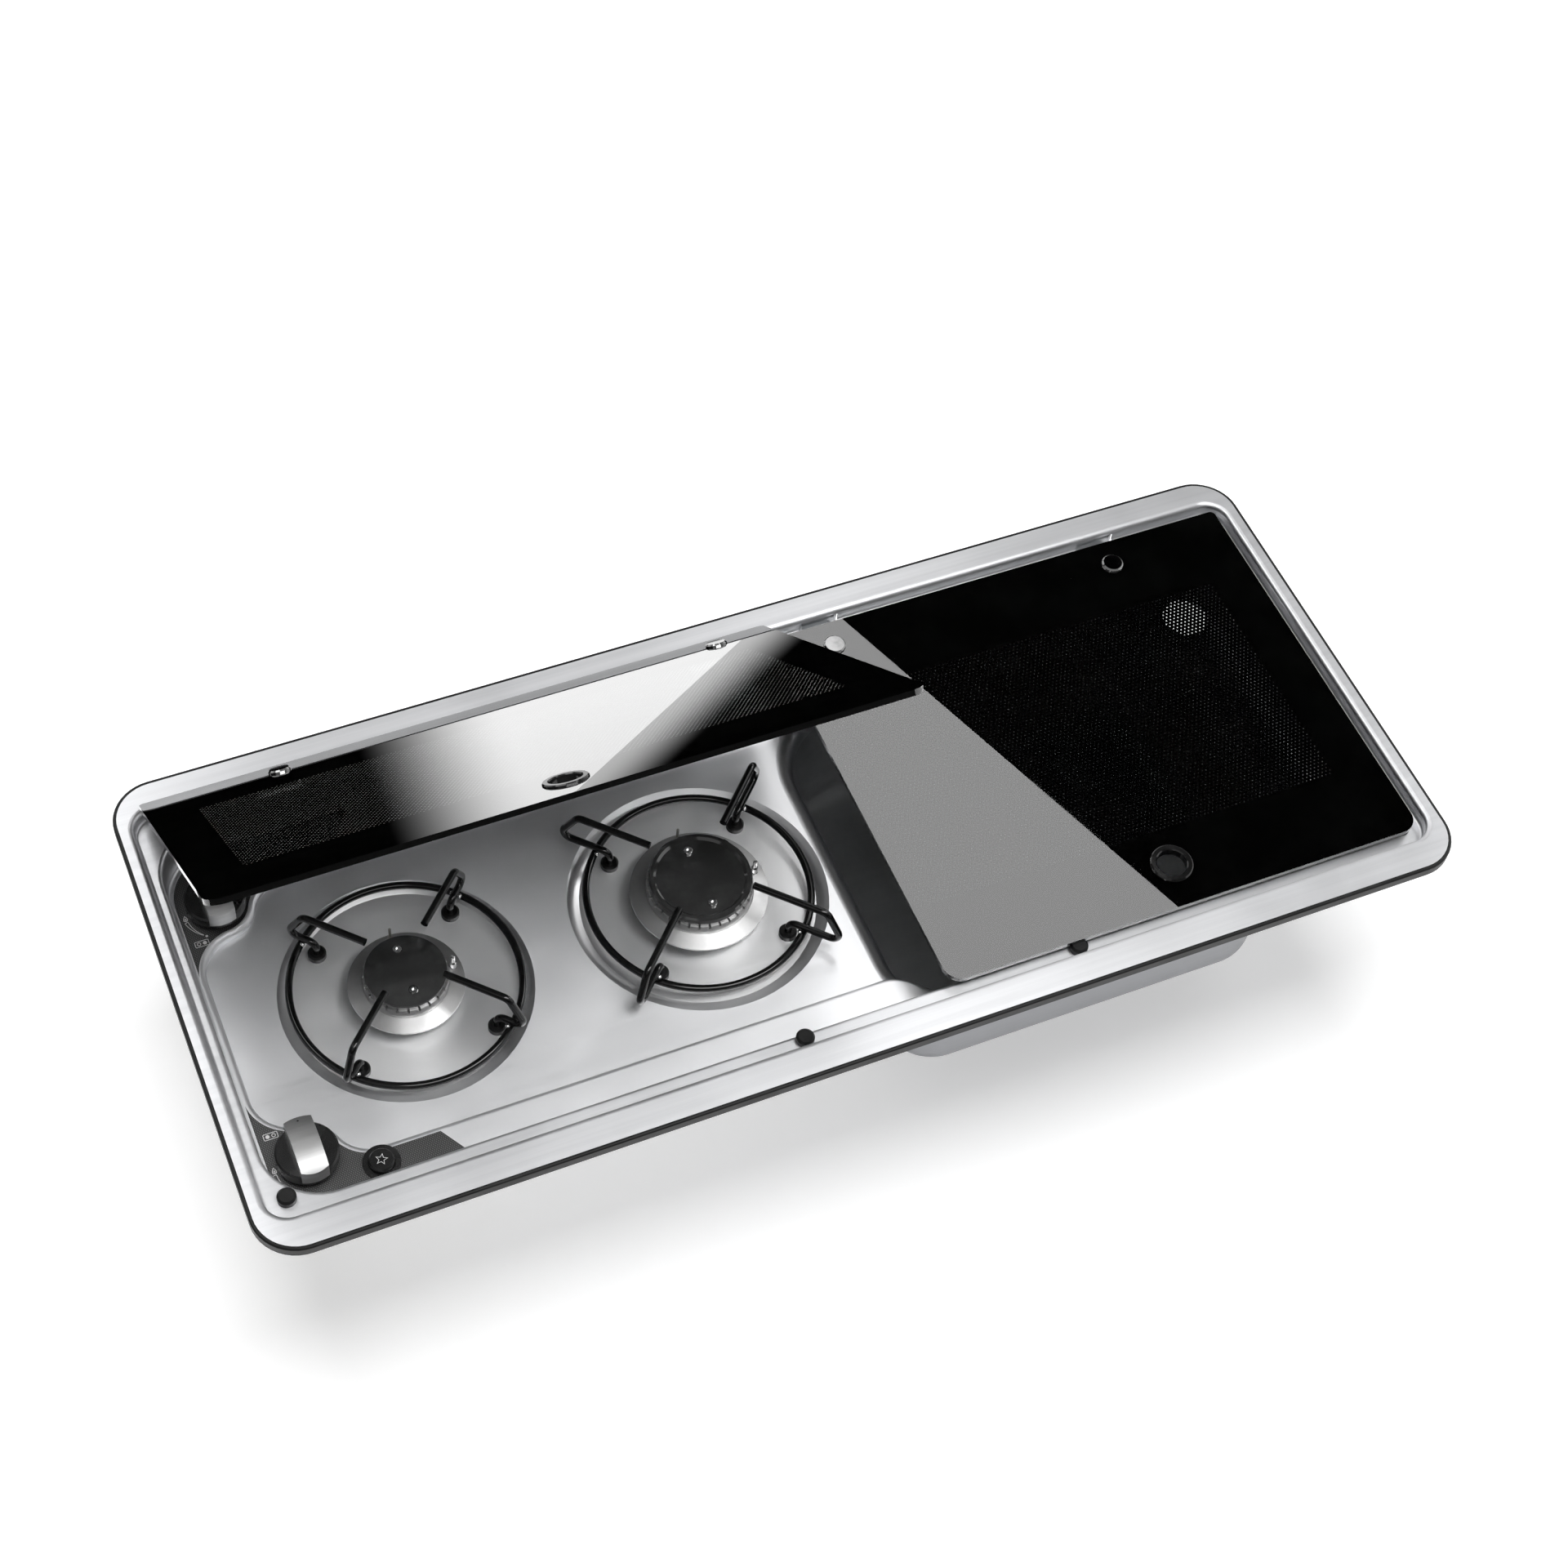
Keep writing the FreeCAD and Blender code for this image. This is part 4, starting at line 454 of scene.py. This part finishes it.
def make_print(lid, angle, left, right):
    """The print on a lid's underside: the faces of the glass that look down when the lid is shut, lifted into
    the glass by a twentieth of a millimetre."""
    glass = frame["nodes"][f"{lid}_lid_glass"].data
    count = len(glass.polygons)
    points = np.empty(len(glass.vertices) * 3)
    glass.vertices.foreach_get("co", points)
    corners = np.empty(count * 3, dtype=int)
    glass.polygons.foreach_get("vertices", corners)
    facing = np.empty(count * 3)
    glass.polygons.foreach_get("normal", facing)
    up = np.array((0.0, math.sin(angle), math.cos(angle)))
    lower = facing.reshape(-1, 3) @ up < STRAIGHT_DOWN
    used, faces = np.unique(corners.reshape(-1, 3)[lower], return_inverse=True)
    sheet = points.reshape(-1, 3)[used] + up * PRINT_LIFT
    finish = make_lid_print(f"{lid}_lid_print", angle, left, right)
    surface(f"{lid}_lid_print", sheet, [faces.reshape(-1, 3)], f"{lid}_lid", finish)


make_print("hob", LID_ANGLE, left=-0.395, right=0.015)
make_print("sink", 0.0, left=0.055, right=0.395)


# Weld beads

BEAD_RADIUS, BEAD_SQUAT = 0.0018, 0.8
BEAD_REACH, BEAD_ASIDE, BEAD_Z = 0.0792, 0.0029, -0.0356
SUPPORT_LEGS = 4


def make_beads(name, centres):
    """Round weld beads: on a grid of latitude and longitude, the cosine and sine of both give a ball about
    each centre, lower than it is wide by a steady share, with a point at each pole."""
    rings, turns = 7, 16
    lat = np.linspace(-math.pi / 2, math.pi / 2, rings + 2)[1:-1, None]
    lon = np.linspace(0.0, math.tau, turns, endpoint=False)[None, :]
    wall = np.stack([np.cos(lat) * np.cos(lon), np.cos(lat) * np.sin(lon), np.sin(lat) + 0.0 * lon], 2)
    wall = wall.reshape(-1, 3)
    poles = ((0.0, 0.0, -1.0), (0.0, 0.0, 1.0))
    ball = np.concatenate([wall, poles]) * (BEAD_RADIUS, BEAD_RADIUS, BEAD_RADIUS * BEAD_SQUAT)
    ring, turn = np.meshgrid(np.arange(rings - 1), np.arange(turns), indexing="ij")
    here, after = (ring * turns + turn).ravel(), (ring * turns + (turn + 1) % turns).ravel()
    quads = np.stack([here, after, after + turns, here + turns], 1)
    step = np.arange(turns)
    low = np.stack([np.full(turns, len(wall)), (step + 1) % turns, step], 1)
    last = (rings - 1) * turns
    high = np.stack([np.full(turns, len(wall) + 1), last + step, last + (step + 1) % turns], 1)
    points = (centres[:, None, :] + ball[None]).reshape(-1, 3)
    shift = (np.arange(len(centres)) * len(ball))[:, None, None]
    faces = [(quads + shift).reshape(-1, 4), (np.concatenate([low, high]) + shift).reshape(-1, 3)]
    surface(name, points, faces, "unit", FINISHES["bright_steel"])


def make_support_welds(burner):
    """The beads where a support's legs cross its ring: a pair at each crossing, one on each side of a leg."""
    low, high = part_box(f"{burner}_burner_cap")
    ways = np.repeat(math.pi / 4 + np.arange(SUPPORT_LEGS) * math.tau / SUPPORT_LEGS, 2)
    sides = np.tile((-BEAD_ASIDE, BEAD_ASIDE), SUPPORT_LEGS)
    across = (low.x + high.x) / 2 + BEAD_REACH * np.cos(ways) - sides * np.sin(ways)
    along = (low.y + high.y) / 2 + BEAD_REACH * np.sin(ways) + sides * np.cos(ways)
    make_beads(f"{burner}_support_welds", np.stack([across, along, np.full(len(ways), BEAD_Z)], 1))


for burner in DISH_RADIUS:
    make_support_welds(burner)


# Printed marks

LINE, LIFT = 0.00045, 0.00002
PLATE_X, PLATE_WIDTH, PLATE_HEIGHT, PLATE_CORNER = -0.4151, 0.0097, 0.0046, 0.0007
RING_ASIDE, RING_RADIUS, SPOT_RADIUS = 0.0021, 0.0012, 0.00142
FLAME_REACH, FLAME_HEIGHT, FLAME_WIDTH = 0.0236, 0.0046, 0.0034
CORE_DROP, CORE_HEIGHT, CORE_WIDTH = 0.0007, 0.0018, 0.0013
WEDGE_REACH, WEDGE_WIDE, WEDGE_START, WEDGE_END, WEDGE_TIP = 0.0256, 0.0024, 0.14, 0.80, 0.12
LOW_REACH, LOW_TURN, LOW_RADIUS = 0.0257, 0.89, 0.00095
STAR_RADIUS, STAR_TURN, STAR_WAIST, STAR_INNER = 0.0045, math.radians(65.0), 0.44, 0.80
POINTER_ALONG, POINTER_RADIUS, GRIP_ARCH = 0.0180, 0.00075, 0.0415


def middle_of(node):
    """The middle of a node's box in plan, and its top."""
    low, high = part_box(node)
    return np.array(((low.x + high.x) / 2, (low.y + high.y) / 2)), high.z


def circle(centre, radius, turns):
    """Points at the given angles on a circle, or on a path whose radius differs from angle to angle."""
    return centre + np.reshape(radius, (-1, 1)) * np.stack([np.cos(turns), np.sin(turns)], 1)


def band(inner, outer):
    """Quads between two closed paths of as many points, both anticlockwise."""
    count = len(inner)
    here = np.arange(count)
    after = (here + 1) % count
    return np.concatenate([inner, outer]), np.stack([here, count + here, count + after, after], 1)


def line_round(path):
    """A flat line along a closed path: each point moved half the line's width to both sides of the path."""
    ahead = np.roll(path, -1, 0) - np.roll(path, 1, 0)
    aside = np.stack([-ahead[:, 1], ahead[:, 0]], 1) / np.linalg.norm(ahead, axis=1)[:, None]
    return band(path + aside * LINE / 2, path - aside * LINE / 2)


def disc(centre, radius):
    """A filled circle: strips between its lower and upper half at the same angle from the X axis, ending just
    short of the axis on both sides."""
    count, short = 24, 0.08
    turns = np.linspace(short, math.pi - short, count)
    here = np.arange(count - 1)
    strips = np.stack([here, count + here, count + here + 1, here + 1], 1)
    return np.concatenate([circle(centre, radius, -turns), circle(centre, radius, turns)]), strips


def plate(centre):
    """A rounded rectangle: four quarter circles of one radius about its inner corners, in turn. The nudge
    puts the angles that lie on an axis into the quarter that follows."""
    nudge = 0.01
    turns = np.linspace(0.0, math.tau, 40, endpoint=False)
    inner = np.array((PLATE_WIDTH / 2 - PLATE_CORNER, PLATE_HEIGHT / 2 - PLATE_CORNER))
    quarter = np.sign(np.stack([np.cos(turns + nudge), np.sin(turns + nudge)], 1))
    return circle(centre, PLATE_CORNER, turns) + quarter * inner


def flame(centre, height, width):
    """A drop with its point up: half the height times the cosine upwards, and sideways a share of the width
    times the sine and the half-angle's sine to the power of one and a half."""
    point_gap, swell = 0.02, 0.58
    turns = np.linspace(point_gap, math.tau - point_gap, 48)
    side = -np.sin(turns) * np.sin(turns / 2) ** 1.5
    return centre + np.stack([side * width * swell, np.cos(turns) * height / 2], 1)


def flow_wedge(centre, lead):
    """A wedge bent round a knob: its outer side on a circle, its inner side closing in on it to the end."""
    count = 32
    turns = np.linspace(lead + WEDGE_START, lead + WEDGE_END, count)
    inner = circle(centre, WEDGE_REACH - WEDGE_WIDE * np.linspace(1.0, WEDGE_TIP, count), turns)
    return np.concatenate([circle(centre, WEDGE_REACH, turns), inner[::-1]])


def star(centre):
    """A five-pointed outline: ten points at two radii by turns, and the same points drawn in by a share."""
    corner = np.arange(10)
    reach = np.where(corner % 2 == 0, STAR_RADIUS, STAR_RADIUS * STAR_WAIST)
    turns = STAR_TURN + corner * math.pi / 5
    return band(circle(centre, reach * STAR_INNER, turns), circle(centre, reach, turns))


def put_marks(name, parts, height, body):
    """Joins flat parts into one sheet at one height."""
    starts = np.cumsum([0] + [len(points) for points, _ in parts[:-1]])
    flat = np.concatenate([points for points, _ in parts])
    faces = [faces + start for (_, faces), start in zip(parts, starts)]
    sheet = np.column_stack([flat, np.full(len(flat), height)])
    surface(name, sheet, faces, body, MARK_INK, smooth=False)


def make_panel_marks(side, plate_y, filled, lead):
    """One panel's marks: a plate with two rings for the burners, one of them filled, and a flame, a wedge and
    a dot round the knob from the lead angle on."""
    knob, _ = middle_of(f"{side}_knob")
    _, height = middle_of(f"{side}_control_panel")
    centre = np.array((PLATE_X, plate_y))
    full_turn = np.linspace(0.0, math.tau, 32, endpoint=False)
    full = circle(knob, FLAME_REACH, np.array([lead]))[0]
    low = circle(knob, LOW_REACH, np.array([lead + LOW_TURN]))[0]
    parts = [
        line_round(plate(centre)),
        line_round(circle(centre - (filled * RING_ASIDE, 0.0), RING_RADIUS, full_turn)),
        disc(centre + (filled * RING_ASIDE, 0.0), SPOT_RADIUS),
        line_round(flame(full, FLAME_HEIGHT, FLAME_WIDTH)),
        line_round(flame(full - (0.0, CORE_DROP), CORE_HEIGHT, CORE_WIDTH)),
        line_round(flow_wedge(knob, lead)),
        disc(low, LOW_RADIUS),
    ]
    put_marks(f"{side}_panel_marks", parts, height + LIFT, "unit")


def make_button_star():
    """The spark mark on the ignition button."""
    centre, height = middle_of("igniter_button")
    put_marks("button_star", [star(centre)], height + LIFT, "button")


def make_pointer(side):
    """The dark pointer dot near the rear end of a grip: a disc laid on the grip's arch, whose height follows
    a circle about an axis across the grip."""
    knob, top = middle_of(f"{side}_knob_grip")
    flat, faces = disc(knob + (0.0, POINTER_ALONG), POINTER_RADIUS)
    rise = top - GRIP_ARCH + np.sqrt(GRIP_ARCH ** 2 - (flat[:, 1] - knob[1]) ** 2)
    surface(f"{side}_pointer", np.column_stack([flat, rise + LIFT]), [faces], f"{side}_control",
            FINISHES["black_plastic"], smooth=False)


make_panel_marks("front", plate_y=-0.0834, filled=-1, lead=math.radians(181.0))
make_panel_marks("rear", plate_y=0.0778, filled=1, lead=math.radians(188.0))
make_button_star()
for side in ("front", "rear"):
    make_pointer(side)


# Stage

# Each card overhead: its strength, its height, its outline in plan, and whether glass lets it through.
CEILING_CARDS = {
    "softbox": (0.45, 1.52, [(-2.2, -2.2), (2.6, -2.2), (2.6, 2.6), (-2.2, 2.6)], True),
    "key": (6.6, 1.48, [(-0.6, -0.9), (1.0, -0.9), (1.0, -0.4), (0.3, -0.1), (-0.1, -0.35), (-0.6, -0.5)],
            False),
    "right_card": (6.6, 1.5, [(1.6, 0.1), (2.6, 0.1), (2.6, 0.9), (1.6, 0.9)], False),
    "left_card": (3.4, 1.5, [(-1.4, 0.3), (-0.34, 0.3), (-0.34, 1.5), (-1.4, 1.5)], False),
    "strip": (2.3, 1.5, [(0.5, 0.515), (0.985, 0.515), (0.711, 1.24), (0.5, 1.24)], False),
    "flag": (0.0, 1.5, [(0.985, 0.515), (1.45, 0.515), (1.45, 1.24), (0.711, 1.24)], True),
}


def one_face(name, corners, finish):
    """A flat object of one face."""
    mesh = bpy.data.meshes.new(name)
    mesh.from_pydata(corners, [], [list(range(len(corners)))])
    mesh.materials.append(finish)
    return add_object(name, mesh)


def glossy_card(name, corners, finish, through_glass=False):
    """A flat studio card that only reflections see, or glass as well."""
    card = one_face(name, corners, finish)
    card.visible_camera = False
    card.visible_diffuse = False
    card.visible_transmission = through_glass
    card.visible_shadow = False


def card_light(name, strength):
    """A plain emission material for a card. Strength is a level, or a function that makes its nodes."""
    finish = bpy.data.materials.new(name)
    finish.use_nodes = True
    tree = finish.node_tree
    tree.nodes.clear()
    light = put(tree, "ShaderNodeEmission", {"Color": WHITE})
    feed(tree, light.inputs["Strength"], strength(tree) if callable(strength) else strength)
    tree.links.new(light.outputs[0], tree.nodes.new("ShaderNodeOutputMaterial").inputs["Surface"])
    return finish


def rear_card_level(tree):
    """Black at the left, a ramp to white, a slanted edge, then grey falling to black."""
    dark_until, white_from = -0.215, -0.080
    edge_x, edge_z, slant = 0.160, -0.184, 1.97
    white_level, grey_level, grey_width = 1.55, 0.9, 0.09
    axes = split_axes(tree, tree.nodes.new("ShaderNodeTexCoord").outputs["Object"])
    left = ramp(tree, axes["X"], dark_until, white_from)
    leaned = maths(tree, "MULTIPLY", maths(tree, "SUBTRACT", axes["Z"], edge_z), slant)
    beyond = maths(tree, "SUBTRACT", maths(tree, "ADD", axes["X"], leaned), edge_x)
    white = maths(tree, "MULTIPLY", maths(tree, "LESS_THAN", beyond, 0.0), white_level)
    fall = ramp(tree, beyond, 0.0, grey_width, grey_level, 0.0)
    return maths(tree, "MULTIPLY", left, maths(tree, "MAXIMUM", white, fall))


def make_rear_card():
    """The card behind the open lid, which shows in the lid's upper face."""
    half, back, top = 0.9, 0.5, 0.03
    corners = [(-half, back, FLOOR_Z), (half, back, FLOOR_Z), (half, back, top), (-half, back, top)]
    glossy_card("rear_card", corners, card_light("rear_card", rear_card_level))


def make_ceiling():
    """Cards overhead for reflections: a wide softbox, a key that lights the hob pan and the front rim, cards
    for the left and right rim, and over the shut lid a bright strip beside a black flag, with a slanted edge
    between them."""
    for name, (strength, height, outline, through_glass) in CEILING_CARDS.items():
        corners = [(x, y, height) for x, y in outline]
        glossy_card(name, corners, card_light(name, strength), through_glass)


def make_side_walls():
    """Walls round the stage for reflections and glass alone: dark in front and on the left, bright on the
    right and behind, so that bends and wires show light and dark sides."""
    dark, bright = (card_light("dark_wall", 0.03), 1.5), (card_light("bright_wall", 1.1), 1.05)
    reach = 2.2
    ring = [(-reach, -reach), (reach, -reach), (reach, reach), (-reach, reach)]
    for i, (finish, top) in enumerate((dark, bright, bright, dark)):
        (x0, y0), (x1, y1) = ring[i], ring[(i + 1) % len(ring)]
        corners = [(x0, y0, FLOOR_Z), (x1, y1, FLOOR_Z), (x1, y1, top), (x0, y0, top)]
        glossy_card(f"side_wall_{i}", corners, finish, True)


def seen_directly(tree):
    """1 for camera, glossy and transmission rays, and 0 for the others."""
    path = tree.nodes.new("ShaderNodeLightPath").outputs
    in_metal_or_glass = maths(tree, "MAXIMUM", path["Is Glossy Ray"], path["Is Transmission Ray"])
    return maths(tree, "MAXIMUM", path["Is Camera Ray"], in_metal_or_glass)


def make_floor():
    """A wide pale floor, a little brighter to camera, glossy and transmission rays so that it reads white."""
    half, lift = 6.0, 0.36
    finish, tree, shader, _ = new_finish("floor", Base_Color=grey(0.88), Roughness=0.9,
                                         Specular_IOR_Level=0.0, Emission_Color=WHITE)
    tree.links.new(maths(tree, "MULTIPLY", seen_directly(tree), lift), shader.inputs["Emission Strength"])
    corners = [(-half, -half, FLOOR_Z), (half, -half, FLOOR_Z), (half, half, FLOOR_Z), (-half, half, FLOOR_Z)]
    floor = one_face("floor", corners, finish)


def make_world():
    """White where the camera, metal and glass see it, and a dimmer fill for diffuse light."""
    fill = 0.28
    world = bpy.data.worlds.new("studio")
    bpy.context.scene.world = world
    world.use_nodes = True
    tree = world.node_tree
    back = tree.nodes["Background"]
    back.inputs["Color"].default_value = WHITE
    tree.links.new(ramp(tree, seen_directly(tree), 0.0, 1.0, fill, 1.0, "LINEAR"), back.inputs["Strength"])


def make_lamp():
    """One wide soft lamp overhead, kept out of reflections, which see the cards instead."""
    lamp = bpy.data.lights.new("overhead", "AREA")
    lamp.shape = "RECTANGLE"
    lamp.size = 2.0
    lamp.size_y = 1.7
    lamp.energy = 76.0
    holder = add_object("overhead", lamp)
    holder.location = (0.0, 0.05, 2.4)
    holder.visible_glossy = False


def make_camera():
    """The photograph's camera: place, direction, roll, focal length in pixels and principal point in a square
    frame."""
    place_at = Vector((-0.5601, -0.9515, 1.6210))
    elevation, azimuth, roll = math.radians(54.8), math.radians(27.92), math.radians(-6.52)
    image, focal, centre = 1920.0, 3352.9, (892.9, 952.2)
    sensor = 36.0
    level_share = math.cos(elevation)
    ahead = Vector((level_share * math.sin(azimuth), level_share * math.cos(azimuth), -math.sin(elevation)))
    level = ahead.cross(Vector((0, 0, 1))).normalized()
    right = math.cos(roll) * level + math.sin(roll) * ahead.cross(level)
    up = right.cross(ahead)
    lens = bpy.data.cameras.new("camera")
    lens.sensor_width = sensor
    lens.sensor_fit = "HORIZONTAL"
    lens.lens = focal / image * sensor
    lens.shift_x = (image / 2 - centre[0]) / image
    lens.shift_y = (centre[1] - image / 2) / image
    lens.clip_end = 50.0
    camera = add_object("camera", lens)
    turn = Matrix((right, up, -ahead)).transposed().to_4x4()
    camera.matrix_world = Matrix.Translation(place_at) @ turn
    bpy.context.scene.camera = camera


make_floor()
make_world()
make_lamp()
make_ceiling()
make_side_walls()
make_rear_card()
make_camera()

bpy.context.scene.view_settings.view_transform = "Standard"
